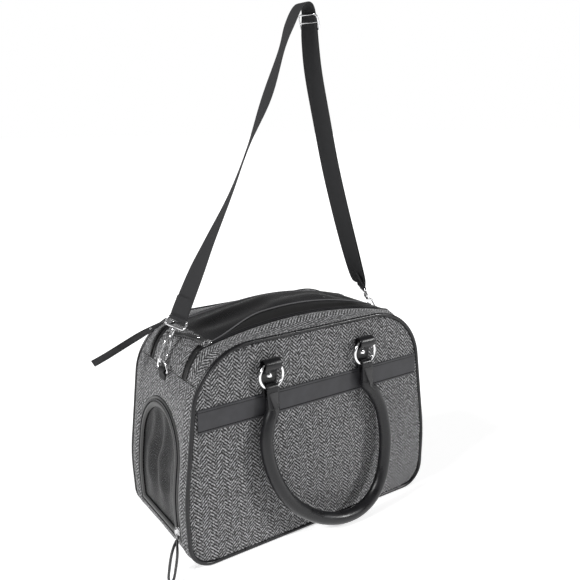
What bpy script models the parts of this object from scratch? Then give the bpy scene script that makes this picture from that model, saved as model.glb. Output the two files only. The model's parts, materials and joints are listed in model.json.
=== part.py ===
"""Pet carrier bag: tweed shell, mesh roof flap, mesh end door, two handles and a shoulder strap.

Metres, +Z up, +X along the bag's length, -Y towards its front face.
The origin is the centre of the base, on the surface that the bag stands on.
"""
import math

import bmesh
import bpy
from mathutils import Matrix, Vector

# Shell outline, seen from the front: half lengths at the floor, belly and top
HEIGHT = 0.305
WIDTH = 0.195
FLOOR_HALF = 0.2075
BELLY_HALF = 0.2110
BELLY_Z = 0.095
TOP_HALF = 0.184
FLOOR_RADIUS = 0.038
BELLY_RADIUS = 0.30
SHOULDER_RADIUS = 0.09

# Cloth and trim
GAP = 0.0003
CLOTH = 0.003
FACE_CLOTH = 0.004
LEATHER = 0.0015
PIPING_RADIUS = 0.003
SHELL_DEPTH = 0.0015
BASE_HALF = 0.160
SEAM_Z = 0.256
BAND_LOW = 0.1945
BAND_HIGH = 0.2275
BAND_HALF = 0.1865

BOARD_SIZE = (0.318, 0.172, 0.003)
BOARD_Z = 0.0050
MAT_SIZE = (0.336, 0.168, 0.020)
MAT_Z = 0.0171
MAT_EDGE = 0.005
SEAM_GAP = 0.0005
TAPE_CLOTH = 0.002
NET_CLOTH = 0.0015

# Roof: the zips follow an arc over the middle of the bag
ZIP_Y = 0.058
STRIP_Y = 0.063
ZIP_TOP = 0.316
ZIP_ARC_RADIUS = 0.642
ZIP_END_X = 0.160
DOME_RISE = 0.014
FLAP_LEFT = -0.154
FLAP_RIGHT = 0.150
FLAP_BAND = 0.012
MESH_Y = 0.035

# End door
DOOR_HALF = 0.070
DOOR_BOTTOM = 0.030
DOOR_SPRING = 0.143
DOOR_TOP = 0.215
DOOR_TAPE = 0.006
DOOR_BINDING = 0.010
DOOR_PIVOT = (-0.2070, 0, 0.0360)
DOOR_ZIP_CENTRE = (0.2588, 0, 0.0750)

# Handles and their rings
RING_X = 0.080
RING_RADIUS = 0.018
RING_WIRE = 0.002
TAB_LOOP_Z = 0.2690
RIVET_Z = 0.2520
RIVET_RADIUS = 0.0042
RIVET_HEIGHT = 0.0022
RING_DROP = 0.0155
TAB_LOOP = 0.0085
TAB_HOLE = 0.0068
TAB_WIDTH = 0.024
HANDLE_PIVOT_Z = 0.2367
HANDLE_LOOP = 0.0055
HANDLE_HOLE = 0.0038
HANDLE_LOOP_WIDTH = 0.018
HANDLE_RADIUS = 0.00925
HANDLE_TOP_Z = 0.2110
HANDLE_TOP_OUT = 0.0032
HANDLE_LEAN = 0.079
# The rolled handle's centre line, as it hangs: a little askew
HANDLE_ROUTE = [
    (-0.0812, 0.2110), (-0.0816, 0.2050), (-0.0890, 0.1880), (-0.0945, 0.1620), (-0.0910, 0.1300),
    (-0.0785, 0.0940), (-0.0570, 0.0610), (-0.0270, 0.0350), (0.0030, 0.0195), (0.0320, 0.0128),
    (0.0600, 0.0155), (0.0850, 0.0300), (0.1015, 0.0545), (0.1105, 0.0890), (0.1125, 0.1240),
    (0.1060, 0.1640), (0.0920, 0.1920), (0.0816, 0.2050), (0.0812, 0.2110),
]

# Shoulder strap and its hardware
STRAP_TAB_Z = 0.2525
STRAP_LOOP = 0.0040
STRAP_HOLE = 0.0023
STRAP_TAB_WIDTH = 0.018
STRAP_TAIL = 0.020
DEE_RADIUS = 0.016
DEE_WIRE = 0.0015
HOOK_WIRE = 0.0018
DEE_BAR = 0.0125
HOOK_BOW = 0.0055
HOOK_CLEAR = 0.0018
EYE_UP = 0.0510
EYE_WIDTH = 0.0290
EYE_DEPTH = 0.0120
EYE_WIRE = 0.0016
GATE_WIRE = 0.0012
# Distances along the hook from its bow's centre, and how far out from its axis
HOOK_STEM = [(0.0425, 0), (0.0310, 0), (0.0300, 0), (0.0270, 0.0030), (0.0235, 0.0050)]
STEM_SWELL = [1.9, 1.9, 1.0, 1.0, 1.0]
HOOK_TIP = 0.0070
GATE_LINE = [(0.0255, -0.0030), (0.0170, -0.0046), (0.0092, -0.0052)]
WEB_WIDTH = 0.025
WEB_THICK = 0.0016
STRAP_ROUTE = [
    (-0.1335, 0.3800), (-0.1105, 0.4221), (-0.0745, 0.4849), (-0.0436, 0.5484), (-0.0127, 0.6121),
    (0.0134, 0.6757), (0.0275, 0.7090), (0.0400, 0.7310), (0.0510, 0.7385), (0.0590, 0.7290),
    (0.0605, 0.6930), (0.0662, 0.6453), (0.0807, 0.5785), (0.0969, 0.5084), (0.1178, 0.4342),
    (0.1380, 0.3690), (0.1510, 0.3330),
]
# How the webbing's width is turned from +X at each of those points and at its two ends
STRAP_TURN = [-40, -58, -84, -110, -116, -88, -102, -88, -86, -84, -76, -60, -50, -46, -46, -50,
              -62, -76, -112]
SLIDE_FROM_TOP = 0.022
SLIDE_WIDTH = 0.0310
SLIDE_LENGTH = 0.0220
SLIDE_WIRE = 0.0013

# Sliders and their leather pulls
SLIDER_X = -0.150
SLIDER_Y = 0.0606
PULL_WIDTH = 0.010
PULL_THICK = 0.0024
SLIDER_LENGTH = 0.013
SLIDER_WIDTH = 0.0050
SLIDER_HEIGHT = 0.0042
SLIDER_EDGE = 0.001
SLIDER_LIFT = 0.0026
FRONT_PULL_HEADING = (-0.12, 0.99, -0.085)
FRONT_PULL_LENGTH = 0.090
REAR_PULL_HEADING = (-0.924, 0, -0.382)
REAR_PULL_LENGTH = 0.119
DOOR_SLIDER_Z = 0.050
DOOR_PULL_LENGTH = 0.058
DOOR_PULL_REST_Z = 0.0040

UP = Vector((0, 0, 1))

COLOURS = {
    "tweed": ((0.16, 0.16, 0.165), 0.95, 0.0),
    "leather": ((0.025, 0.025, 0.028), 0.42, 0.0),
    "band": ((0.05, 0.05, 0.055), 0.5, 0.0),
    "mesh": ((0.02, 0.02, 0.02), 0.8, 0.0),
    "zip": ((0.015, 0.015, 0.015), 0.7, 0.0),
    "webbing": ((0.03, 0.03, 0.032), 0.85, 0.0),
    "chrome": ((0.75, 0.75, 0.76), 0.15, 1.0),
    "board": ((0.08, 0.08, 0.085), 0.8, 0.0),
    "fleece": ((0.25, 0.25, 0.26), 1.0, 0.0),
}


def clear_scene():
    """Remove every object that the file starts with."""
    for thing in list(bpy.data.objects):
        bpy.data.objects.remove(thing, do_unlink=True)


def make_collection(name):
    group = bpy.data.collections.new(name)
    bpy.context.scene.collection.children.link(group)
    return group


def material(slot):
    """One Principled material for each object, in its slot's finish."""
    colour, roughness, metallic = COLOURS[slot]
    made = bpy.data.materials.new(slot)
    made.use_nodes = True
    shader = made.node_tree.nodes["Principled BSDF"]
    shader.inputs["Base Color"].default_value = (*colour, 1.0)
    shader.inputs["Roughness"].default_value = roughness
    shader.inputs["Metallic"].default_value = metallic
    return made


def add_object(name, data, slot, group):
    thing = bpy.data.objects.new(name, data)
    data.materials.append(material(slot))
    group.objects.link(thing)
    return thing


# ---------------------------------------------------------------- outlines

def arc(centre, radius, start_deg, end_deg, count):
    """Points on an arc, both ends included."""
    points = []
    for i in range(count + 1):
        angle = math.radians(start_deg + (end_deg - start_deg) * i / count)
        points.append(centre + radius * Vector((math.cos(angle), math.sin(angle))))
    return points


def rounded(corners, step_deg=10.0):
    """An open line through (a, b, radius) corners, with an arc at each inner corner."""
    points = [Vector(corners[0][:2])]
    for before, corner, after in zip(corners, corners[1:], corners[2:]):
        here = Vector(corner[:2])
        back = (Vector(before[:2]) - here).normalized()
        ahead = (Vector(after[:2]) - here).normalized()
        half = back.angle(ahead) / 2
        reach = corner[2] / math.tan(half)
        centre = here + (back + ahead).normalized() * corner[2] / math.sin(half)
        spoke = here + back * reach - centre
        turn = math.pi - 2 * half
        side = 1 if back.cross(ahead) < 0 else -1
        count = max(2, math.ceil(math.degrees(turn) / step_deg))
        for i in range(count + 1):
            points.append(centre + Matrix.Rotation(side * turn * i / count, 2) @ spoke)
    points.append(Vector(corners[-1][:2]))
    return points


def rounded_ring(width, height, radius, step_deg=18.0):
    """A closed rounded rectangle about the origin."""
    w, h = width / 2, height / 2
    line = rounded([(0, -h, 0), (w, -h, radius), (w, h, radius), (-w, h, radius),
                    (-w, -h, radius), (0, -h, 0)], step_deg)
    return line[:-1]


class Rim:
    """The shell's closed outline in XZ; u is the length along it from the top's centre, to +X."""

    def __init__(self):
        half = rounded([(0, HEIGHT, 0), (TOP_HALF, HEIGHT, SHOULDER_RADIUS),
                        (BELLY_HALF, BELLY_Z, BELLY_RADIUS), (FLOOR_HALF, 0, FLOOR_RADIUS),
                        (0, 0, 0)], 7.5)
        mirrored = [Vector((-p.x, p.y)) for p in reversed(half[1:-1])]
        self.points = half + mirrored
        self.lengths = [0.0]
        for a, b in zip(self.points, self.points[1:] + self.points[:1]):
            self.lengths.append(self.lengths[-1] + (b - a).length)
        self.total = self.lengths[-1]
        self.normals = []
        for i, here in enumerate(self.points):
            before = (here - self.points[i - 1]).normalized()
            after = (self.points[(i + 1) % len(self.points)] - here).normalized()
            along = (before + after).normalized()
            self.normals.append(Vector((-along.y, along.x)))

    def at(self, u):
        """The point and the outward normal at u."""
        u = u % self.total
        for i in range(len(self.points)):
            if u <= self.lengths[i + 1]:
                break
        j = (i + 1) % len(self.points)
        part = (u - self.lengths[i]) / (self.lengths[i + 1] - self.lengths[i])
        point = self.points[i].lerp(self.points[j], part)
        return point, self.normals[i].lerp(self.normals[j], part).normalized()

    def where(self, test, start=0.0, step=0.0002):
        """The first u from start, going right and down, at which test(point) holds."""
        u = start
        while not test(self.at(u)[0]):
            u += step
        return u

    def inset(self, depth):
        """The whole outline moved inwards."""
        return [p - n * depth for p, n in zip(self.points, self.normals)]


RIM = Rim()
SEAM_U = RIM.where(lambda p: p.y < SEAM_Z)
FLOOR_U = RIM.where(lambda p: p.x < BASE_HALF, SEAM_U + 0.1)
ZIP_END_U = RIM.where(lambda p: p.x > ZIP_END_X)


def smooth(t):
    t = min(1.0, max(0.0, t))
    return t * t * (3 - 2 * t)


def arc_z(x):
    """Height of the zip line over the middle of the bag."""
    return ZIP_TOP - ZIP_ARC_RADIUS + math.sqrt(ZIP_ARC_RADIUS ** 2 - x * x)


def roof_lift(u, y):
    """How far the roof stands above the rim at u and y."""
    point, normal = RIM.at(u)
    reach = abs(u)
    inner_edge = WIDTH / 2 - 2 * PIPING_RADIUS
    side = smooth((inner_edge - abs(y)) / (inner_edge - STRIP_Y))
    if reach <= ZIP_END_U:
        rise = (arc_z(point.x) - point.y) * UP
        share = 0.0
    else:
        share = smooth((reach - ZIP_END_U) / (SEAM_U - ZIP_END_U))
        edge = RIM.at(ZIP_END_U)[0]
        height = (arc_z(edge.x) - edge.y) * (1 - share)
        rise = height * (UP.lerp(Vector((normal.x, 0, normal.y)), share)).normalized()
    dome = 0.0
    if abs(y) < ZIP_Y:
        length_part = max(0.0, 1 - (point.x / ZIP_END_X) ** 2)
        dome = DOME_RISE * length_part * (1 - (y / ZIP_Y) ** 2)
    return rise * side + dome * UP


def shell_point(u, y, depth, roof):
    point, normal = RIM.at(u)
    out = Vector((normal.x, 0, normal.y))
    place = Vector((point.x, y, point.y)) - out * depth
    if roof:
        place += roof_lift(u, y)
    return place


# ---------------------------------------------------------------- solids

def rim_sheet(name, slot, group, u_range, y_range, count, thickness=CLOTH,
              depth=SHELL_DEPTH, roof=False):
    """A cloth that follows the shell between two lengths and two widths, thickened inwards."""
    mesh = bpy.data.meshes.new(name)
    bm = bmesh.new()
    bmesh.ops.create_grid(bm, x_segments=count[0], y_segments=count[1], size=0.5)
    for vert in bm.verts:
        u = u_range[0] + (u_range[1] - u_range[0]) * (vert.co.x + 0.5)
        y = y_range[0] + (y_range[1] - y_range[0]) * (vert.co.y + 0.5)
        vert.co = shell_point(u, y, depth, roof)
    bm.to_mesh(mesh)
    bm.free()
    thing = add_object(name, mesh, slot, group)
    skin = thing.modifiers.new("cloth", "SOLIDIFY")
    skin.thickness = thickness
    skin.offset = -1.0
    mesh.shade_smooth()
    return thing


def flat_matrix(origin, across, up):
    """Turns a drawing's x and y into across and up, about origin."""
    across = Vector(across).normalized()
    up = Vector(up).normalized()
    frame = Matrix((across, up, across.cross(up))).transposed().to_4x4()
    return Matrix.Translation(origin) @ frame


def plate(name, slot, group, outlines, thickness, origin, across, up):
    """A flat outline, with any holes, centred on its drawing plane."""
    curve = bpy.data.curves.new(name, "CURVE")
    curve.dimensions = "2D"
    curve.fill_mode = "BOTH"
    curve.extrude = thickness / 2
    for outline in outlines:
        spline = curve.splines.new("POLY")
        spline.points.add(len(outline) - 1)
        for knot, point in zip(spline.points, outline):
            knot.co = (point.x, point.y, 0, 1)
        spline.use_cyclic_u = True
    thing = add_object(name, curve, slot, group)
    thing.matrix_world = flat_matrix(origin, across, up)
    return thing


def tube(name, slot, group, points, radius, closed=False, swell=None, sides=2):
    """A round wire along points; swell scales its radius at each of them."""
    curve = bpy.data.curves.new(name, "CURVE")
    curve.dimensions = "3D"
    curve.bevel_depth = radius
    curve.bevel_resolution = sides
    curve.use_fill_caps = not closed
    spline = curve.splines.new("POLY")
    spline.points.add(len(points) - 1)
    for i, (knot, point) in enumerate(zip(spline.points, points)):
        knot.co = (*point, 1)
        knot.radius = swell[i] if swell else 1.0
    spline.use_cyclic_u = closed
    return add_object(name, curve, slot, group)


def block(name, slot, group, size, frame, bevel=0.0, segments=1):
    """A box of the given size, placed and turned by a matrix, with rounded edges."""
    mesh = bpy.data.meshes.new(name)
    bm = bmesh.new()
    bmesh.ops.create_cube(bm, size=1.0)
    bmesh.ops.scale(bm, vec=size, verts=bm.verts)
    bm.to_mesh(mesh)
    bm.free()
    thing = add_object(name, mesh, slot, group)
    thing.matrix_world = frame
    if bevel:
        edge = thing.modifiers.new("edges", "BEVEL")
        edge.width = bevel
        edge.segments = segments
    return thing


def dome(name, slot, group, radius, height, origin, axis):
    """A shallow domed rivet head, as a turned profile."""
    mesh = bpy.data.meshes.new(name)
    bm = bmesh.new()
    line = [(0, height), (0.55 * radius, 0.86 * height), (0.9 * radius, 0.45 * height),
            (radius, 0.15 * height), (radius, 0), (0, 0)]
    verts = [bm.verts.new((a, 0, b)) for a, b in line]
    for a, b in zip(verts, verts[1:]):
        bm.edges.new((a, b))
    bm.to_mesh(mesh)
    bm.free()
    thing = add_object(name, mesh, slot, group)
    spin = thing.modifiers.new("turn", "SCREW")
    spin.steps = 14
    spin.render_steps = 14
    spin.use_merge_vertices = True
    spin.merge_threshold = 0.00001
    thing.matrix_world = Matrix.Translation(origin) @ UP.rotation_difference(axis).to_matrix().to_4x4()
    return thing


def cut(thing, cutter, operation):
    step = thing.modifiers.new(operation.lower(), "BOOLEAN")
    step.operation = operation
    step.object = cutter


def set_pivot(thing, pivot):
    """Move a mesh or curve object's origin to pivot and leave its shape where it is."""
    shift = thing.matrix_world.inverted() @ Vector(pivot)
    thing.data.transform(Matrix.Translation(-shift))
    thing.matrix_world = thing.matrix_world @ Matrix.Translation(shift)


def catmull(points, count):
    """A smooth line through points, count steps a span."""
    line = []
    padded = [2 * points[0] - points[1]] + points + [2 * points[-1] - points[-2]]
    for a, b, c, d in zip(padded, padded[1:], padded[2:], padded[3:]):
        for i in range(count):
            t = i / count
            line.append(0.5 * ((2 * b) + (c - a) * t + (2 * a - 5 * b + 4 * c - d) * t * t
                               + (3 * b - a - 3 * c + d) * t ** 3))
    line.append(points[-1])
    return line


# ---------------------------------------------------------------- the shell

def build_faces(bag):
    """Front and rear panels inside their piping, and the leather band on each."""
    half = WIDTH / 2
    for side, name in ((-1, "front"), (1, "rear")):
        centre = side * (half - PIPING_RADIUS)
        loop = [Vector((p.x, centre, p.y)) for p in RIM.inset(PIPING_RADIUS)]
        tube(f"{name}_piping", "leather", bag, loop, PIPING_RADIUS, closed=True, sides=1)
        panel = RIM.inset(2 * PIPING_RADIUS + GAP)
        face = side * (half - 0.002)
        plate(f"{name}_panel", "tweed", bag, [panel], FACE_CLOTH,
              (0, face - side * FACE_CLOTH / 2, 0), (1, 0, 0), UP)
        out = face + side * (GAP + LEATHER / 2)
        block(f"{name}_band", "band", bag, (2 * BAND_HALF, LEATHER, BAND_HIGH - BAND_LOW),
              Matrix.Translation((0, out, (BAND_LOW + BAND_HIGH) / 2)))


def build_gusset(bag):
    """Base, ends and roof strips between the two rings of piping."""
    edge = WIDTH / 2 - 2 * PIPING_RADIUS - GAP
    seam = SEAM_GAP
    total = RIM.total
    rim_sheet("base_panel", "tweed", bag, (FLOOR_U, total - FLOOR_U), (-edge, edge), (8, 2), depth=0)
    rim_sheet("right_end_panel", "tweed", bag, (SEAM_U + seam, FLOOR_U - seam), (-edge, edge), (26, 2))
    for side, name in ((-1, "front"), (1, "rear")):
        y_range = sorted((side * edge, side * STRIP_Y))
        rim_sheet(f"{name}_roof_strip", "tweed", bag, (seam - SEAM_U, SEAM_U - seam), y_range,
                  (30, 4), thickness=TAPE_CLOTH, roof=True)
        y_range = sorted((side * (STRIP_Y - 0.0009), side * (ZIP_Y + 0.0002)))
        rim_sheet(f"{name}_zip_tape", "zip", bag, (seam - SEAM_U, SEAM_U - seam), y_range,
                  (30, 1), thickness=TAPE_CLOTH, roof=True)
    inner = ZIP_Y - GAP
    left = -RIM.where(lambda p: p.x > -FLAP_LEFT + 0.001)
    right = RIM.where(lambda p: p.x > FLAP_RIGHT + 0.001)
    rim_sheet("left_shoulder", "tweed", bag, (seam - SEAM_U, left), (-inner, inner), (8, 6), roof=True)
    rim_sheet("right_shoulder", "tweed", bag, (right, SEAM_U - seam), (-inner, inner), (8, 6), roof=True)


def door_outline(inset):
    """The arched door's outline in Y and Z, moved inwards by inset."""
    half = DOOR_HALF - inset
    rise = DOOR_TOP - inset - DOOR_SPRING
    line = [Vector((-half, DOOR_BOTTOM + inset)), Vector((half, DOOR_BOTTOM + inset))]
    for i in range(17):
        angle = math.pi * i / 16
        line.append(Vector((half * math.cos(angle), DOOR_SPRING + rise * math.sin(angle))))
    return line


def door_cutter(name, inset, cutters):
    """A tall prism through the left end, for cutting door pieces out of the shell."""
    prism = plate(name, "board", cutters, [door_outline(inset)], 0.08, (-0.205, 0, 0), (0, 1, 0), UP)
    depsgraph = bpy.context.evaluated_depsgraph_get()
    mesh = bpy.data.meshes.new_from_object(prism.evaluated_get(depsgraph))
    bm = bmesh.new()
    bm.from_mesh(mesh)
    bmesh.ops.remove_doubles(bm, verts=bm.verts, dist=0.00001)
    bmesh.ops.recalc_face_normals(bm, faces=bm.faces)
    bm.to_mesh(mesh)
    bm.free()
    solid = bpy.data.objects.new(name, mesh)
    cutters.objects.link(solid)
    solid.matrix_world = prism.matrix_world
    bpy.data.objects.remove(prism, do_unlink=True)
    solid.hide_render = True
    solid.display_type = "WIRE"
    return solid


def build_left_end(bag, cutters):
    """The left end panel, its zip tape, and the mesh door with its binding."""
    edge = WIDTH / 2 - 2 * PIPING_RADIUS - GAP
    u_range = (-FLOOR_U + SEAM_GAP, -SEAM_U - SEAM_GAP)
    cuts = {}
    for name, inset in (("door_opening", 0), ("tape_outside", GAP), ("tape_inside", DOOR_TAPE),
                        ("binding_outside", DOOR_TAPE + GAP), ("binding_inside", DOOR_TAPE + DOOR_BINDING),
                        ("mesh_outside", DOOR_TAPE + DOOR_BINDING + GAP)):
        cuts[name] = door_cutter(name, inset, cutters)
    pieces = (
        ("left_end_panel", "tweed", CLOTH, None, "door_opening", edge),
        ("door_zip_tape", "zip", TAPE_CLOTH, "tape_outside", "tape_inside", DOOR_HALF + 0.004),
        ("door_binding", "zip", TAPE_CLOTH, "binding_outside", "binding_inside", DOOR_HALF + 0.004),
        ("door_mesh", "mesh", NET_CLOTH, "mesh_outside", None, DOOR_HALF + 0.004),
    )
    for name, slot, thickness, keep, remove, reach in pieces:
        piece = rim_sheet(name, slot, bag, u_range, (-reach, reach), (26, 3), thickness=thickness)
        if keep:
            cut(piece, cuts[keep], "INTERSECT")
        if remove:
            cut(piece, cuts[remove], "DIFFERENCE")
        if name in ("door_binding", "door_mesh"):
            set_pivot(piece, DOOR_PIVOT)


def build_inside(bag):
    """The stiff board and the mat on it."""
    block("base_board", "board", bag, BOARD_SIZE, Matrix.Translation((0, 0, BOARD_Z)))
    block("base_mat", "fleece", bag, MAT_SIZE, Matrix.Translation((0, 0, MAT_Z)), MAT_EDGE, 2)


def build_flap(bag):
    """Mesh roof flap: mesh, a zip tape along each side and a band across its free end."""
    u_left = -RIM.where(lambda p: p.x > -FLAP_LEFT)
    u_right = RIM.where(lambda p: p.x > FLAP_RIGHT)
    u_band = u_left + FLAP_BAND
    inner = ZIP_Y - GAP
    pivot = (FLAP_RIGHT, 0, arc_z(FLAP_RIGHT))
    pieces = [
        rim_sheet("flap_mesh", "mesh", bag, (u_band + GAP, u_right), (-MESH_Y, MESH_Y), (20, 5),
                  thickness=TAPE_CLOTH, roof=True),
        rim_sheet("flap_end_band", "tweed", bag, (u_left, u_band), (-inner, inner), (2, 10),
                  thickness=TAPE_CLOTH, roof=True),
    ]
    for side, name in ((-1, "front"), (1, "rear")):
        y_range = sorted((side * inner, side * (MESH_Y + GAP)))
        pieces.append(rim_sheet(f"flap_{name}_tape", "zip", bag, (u_band + GAP, u_right), y_range,
                                (20, 2), thickness=TAPE_CLOTH, roof=True))
    for piece in pieces:
        set_pivot(piece, pivot)


# ---------------------------------------------------------------- handles

def loop_outline(centre, loop, tail_back, tail_thick, tail_length):
    """A strip folded round a wire: a loop, with a tail down behind it. Drawn x outwards, y up."""
    front = tail_back + tail_thick
    meet = math.degrees(math.acos((front - centre.x) / loop))
    line = arc(centre, loop, 180, -meet, 14)
    line += [Vector((front, centre.y - tail_length)), Vector((tail_back, centre.y - tail_length))]
    return line


def build_handle(bag, side, name):
    """Two ring tabs, rivets and rings, and one rolled handle with a folded loop at each end."""
    face = WIDTH / 2 - 0.002
    out = Vector((0, side, 0))
    loop_y = face + GAP + TAB_LOOP
    pivot = Vector((0, side * loop_y, TAB_LOOP_Z))
    grip_pivot = Vector((0, side * loop_y, HANDLE_PIVOT_Z))
    for end, hand in ((-1, "left"), (1, "right")):
        x = end * RING_X
        centre = Vector((TAB_LOOP, TAB_LOOP_Z))
        tail = loop_outline(centre, TAB_LOOP, 0, LEATHER, TAB_LOOP_Z - BAND_HIGH - 0.0005)
        origin = Vector((x, side * (face + GAP), 0))
        plate(f"{name}_{hand}_ring_tab", "leather", bag, [tail, arc(centre, TAB_HOLE, 0, 337.5, 15)],
              TAB_WIDTH, origin, out, UP)
        dome(f"{name}_{hand}_rivet", "chrome", bag, RIVET_RADIUS, RIVET_HEIGHT,
             Vector((x, side * (face + 2 * GAP + LEATHER), RIVET_Z)), out)
        ring = []
        for i in range(20):
            angle = math.tau * i / 20
            ring.append(Vector((x + RING_RADIUS * math.sin(angle), side * loop_y,
                                TAB_LOOP_Z - RING_DROP + RING_RADIUS * math.cos(angle))))
        set_pivot(tube(f"{name}_{hand}_ring", "chrome", bag, ring, RING_WIRE, closed=True), pivot)
        middle = Vector((0, HANDLE_PIVOT_Z))
        low = HANDLE_TOP_Z + 0.0018
        shape = arc(middle, HANDLE_LOOP, 205, -25, 14)
        shape += [Vector((HANDLE_TOP_OUT + 0.0025, low)), Vector((HANDLE_TOP_OUT - 0.0025, low))]
        loop = plate(f"{name}_{hand}_handle_loop", "leather", bag,
                     [shape, arc(middle, HANDLE_HOLE, 0, 337.5, 15)], HANDLE_LOOP_WIDTH,
                     Vector((x, side * loop_y, 0)), out, UP)
        set_pivot(loop, grip_pivot)
    line = []
    for p in catmull([Vector(p) for p in HANDLE_ROUTE], 2):
        reach = loop_y + HANDLE_TOP_OUT + HANDLE_LEAN * (HANDLE_TOP_Z - p.y)
        line.append(Vector((p.x, side * reach, p.y)))
    set_pivot(tube(f"{name}_handle", "leather", bag, line, HANDLE_RADIUS), grip_pivot)


# ---------------------------------------------------------------- shoulder strap

def shell_frame(z, side):
    """Point, outward normal and upward tangent of the shell's end at height z."""
    point, normal = RIM.at(RIM.where(lambda p: p.y < z))
    place = Vector((side * point.x, 0, point.y))
    out = Vector((side * normal.x, 0, normal.y))
    return place, out, Vector((-side * normal.y, 0, abs(normal.x)))


def strap_anchor(side):
    """Where the D ring's straight bar lies in its tab."""
    place, out, up = shell_frame(STRAP_TAB_Z, side)
    return place + out * (STRAP_LOOP - 0.0010)


def hook_axis(side):
    """Foot and direction of the snap hook, which points up along its leg of the strap."""
    foot = strap_anchor(side) + Vector((0, 0, DEE_RADIUS))
    x, z = STRAP_ROUTE[0] if side < 0 else STRAP_ROUTE[-1]
    return foot, (Vector((x, 0, z)) - foot).normalized()


def build_strap_end(bag, side, name):
    """Tab and D ring on the shell; hook, gate and swivel eye on the strap."""
    place, out, up = shell_frame(STRAP_TAB_Z, side)
    anchor = strap_anchor(side)
    centre = Vector((0, 0))
    tail = loop_outline(centre, STRAP_LOOP, -STRAP_LOOP, LEATHER, STRAP_TAIL)
    plate(f"{name}_strap_tab", "webbing", bag, [tail, arc(centre, STRAP_HOLE, 0, 330, 11)],
          STRAP_TAB_WIDTH, anchor, out, up)
    dee = [Vector((-DEE_RADIUS, 0.003)), Vector((-DEE_BAR - 0.002, 0.0006)), Vector((-DEE_BAR, 0)),
           Vector((DEE_BAR, 0)), Vector((DEE_BAR + 0.002, 0.0006)), Vector((DEE_RADIUS, 0.003))]
    dee += arc(centre, DEE_RADIUS, 18, 162, 14)
    ring = [anchor + Vector((0, p.x, p.y)) for p in dee]
    set_pivot(tube(f"{name}_dee_ring", "chrome", bag, ring, DEE_WIRE, closed=True, sides=1), anchor)

    foot, along = hook_axis(side)
    away = Vector((side * abs(along.z), 0, abs(along.x)))
    bow = foot + along * HOOK_CLEAR
    wire = [bow + along * up + away * out for up, out in HOOK_STEM]
    swell = list(STEM_SWELL)
    for p in arc(centre, HOOK_BOW, 0, -180, 8):
        wire.append(bow + away * p.x + along * p.y)
        swell.append(1.0)
    wire.append(bow - away * HOOK_BOW + along * HOOK_TIP)
    swell.append(0.8)
    swing = (0, 0, anchor.z)
    set_pivot(tube(f"{name}_hook", "chrome", bag, wire, HOOK_WIRE, swell=swell), swing)
    gate = [bow + along * up + away * out for up, out in GATE_LINE]
    set_pivot(tube(f"{name}_hook_gate", "chrome", bag, gate, GATE_WIRE), gate[0])
    turn = math.radians(STRAP_TURN[0] if side < 0 else STRAP_TURN[-1])
    level = Vector((math.cos(turn), math.sin(turn), 0))
    across = (level - along * level.dot(along)).normalized()
    centre_eye = bow + along * EYE_UP
    eye = [centre_eye + across * p.x + along * p.y for p in rounded_ring(EYE_WIDTH, EYE_DEPTH, 0.0045, 30)]
    set_pivot(tube(f"{name}_hook_eye", "chrome", bag, eye, EYE_WIRE, closed=True, sides=1), swing)


def strap_line():
    """Webbing centre line with its width direction and its normal, from left to right."""
    ends = []
    for side in (-1, 1):
        foot, along = hook_axis(side)
        ends.append(foot + along * (HOOK_CLEAR + EYE_UP + EYE_DEPTH / 2 + EYE_WIRE + 2 * GAP))
    knots = [ends[0]] + [Vector((x, 0, z)) for x, z in STRAP_ROUTE] + [ends[1]]
    with_turn = [Vector((*p, turn)) for p, turn in zip(knots, STRAP_TURN)]
    line = catmull(with_turn, 3)
    rows = []
    for i, row in enumerate(line):
        before, after = line[max(0, i - 1)], line[min(len(line) - 1, i + 1)]
        along = (after - before).to_3d().normalized()
        turn = math.radians(row[3])
        level = Vector((math.cos(turn), math.sin(turn), 0))
        across = (level - along * level.dot(along)).normalized()
        rows.append((row.to_3d(), along, across))
    return rows


def build_strap(bag):
    """The webbing, twisted as it hangs, and the adjusting slide near its top."""
    rows = strap_line()
    mesh = bpy.data.meshes.new("shoulder_strap")
    bm = bmesh.new()
    bmesh.ops.create_grid(bm, x_segments=len(rows) - 1, y_segments=1, size=0.5)
    for vert in bm.verts:
        place, along, across = rows[round((vert.co.x + 0.5) * (len(rows) - 1))]
        vert.co = place + across * (math.copysign(WEB_WIDTH / 2, vert.co.y))
    bm.to_mesh(mesh)
    bm.free()
    web = add_object("shoulder_strap", mesh, "webbing", bag)
    skin = web.modifiers.new("webbing", "SOLIDIFY")
    skin.thickness = WEB_THICK
    skin.offset = 0.0
    set_pivot(web, (0, 0, strap_anchor(-1).z))

    top = max(range(len(rows)), key=lambda i: rows[i][0].z)
    place, along, across = next(row for row in rows[top:] if row[0].z < rows[top][0].z - SLIDE_FROM_TOP)
    normal = across.cross(along)
    slope = (along * 0.0105 + normal * 0.0042).normalized()
    ring = [place + across * p.x + slope * p.y for p in rounded_ring(SLIDE_WIDTH, SLIDE_LENGTH, 0.006, 30)]
    set_pivot(tube("strap_slide", "chrome", bag, ring, SLIDE_WIRE, closed=True, sides=1), place)


# ---------------------------------------------------------------- sliders

def strip(name, slot, group, start, direction, length):
    """A flat leather pull that runs from start along direction, flat side up."""
    direction = direction.normalized()
    normal = (UP - direction * direction.z).normalized()
    w = PULL_WIDTH / 2
    line = rounded([(0, 0, 0), (0, -w, 0.002), (length, -w, 0.0035), (length, w, 0.0035),
                    (0, w, 0.002), (0, 0, 0)], 30)[1:-1]
    return plate(name, slot, group, [line], PULL_THICK, start, direction, normal.cross(direction))


def roof_frame(x, side):
    """Place on the roof's zip line, and the directions along it and out of it."""
    slope = math.asin(x / ZIP_ARC_RADIUS)
    along = Vector((math.cos(slope), 0, -math.sin(slope)))
    out = Vector((math.sin(slope), 0, math.cos(slope)))
    return Vector((x, side * SLIDER_Y, arc_z(x))), along, out


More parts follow.
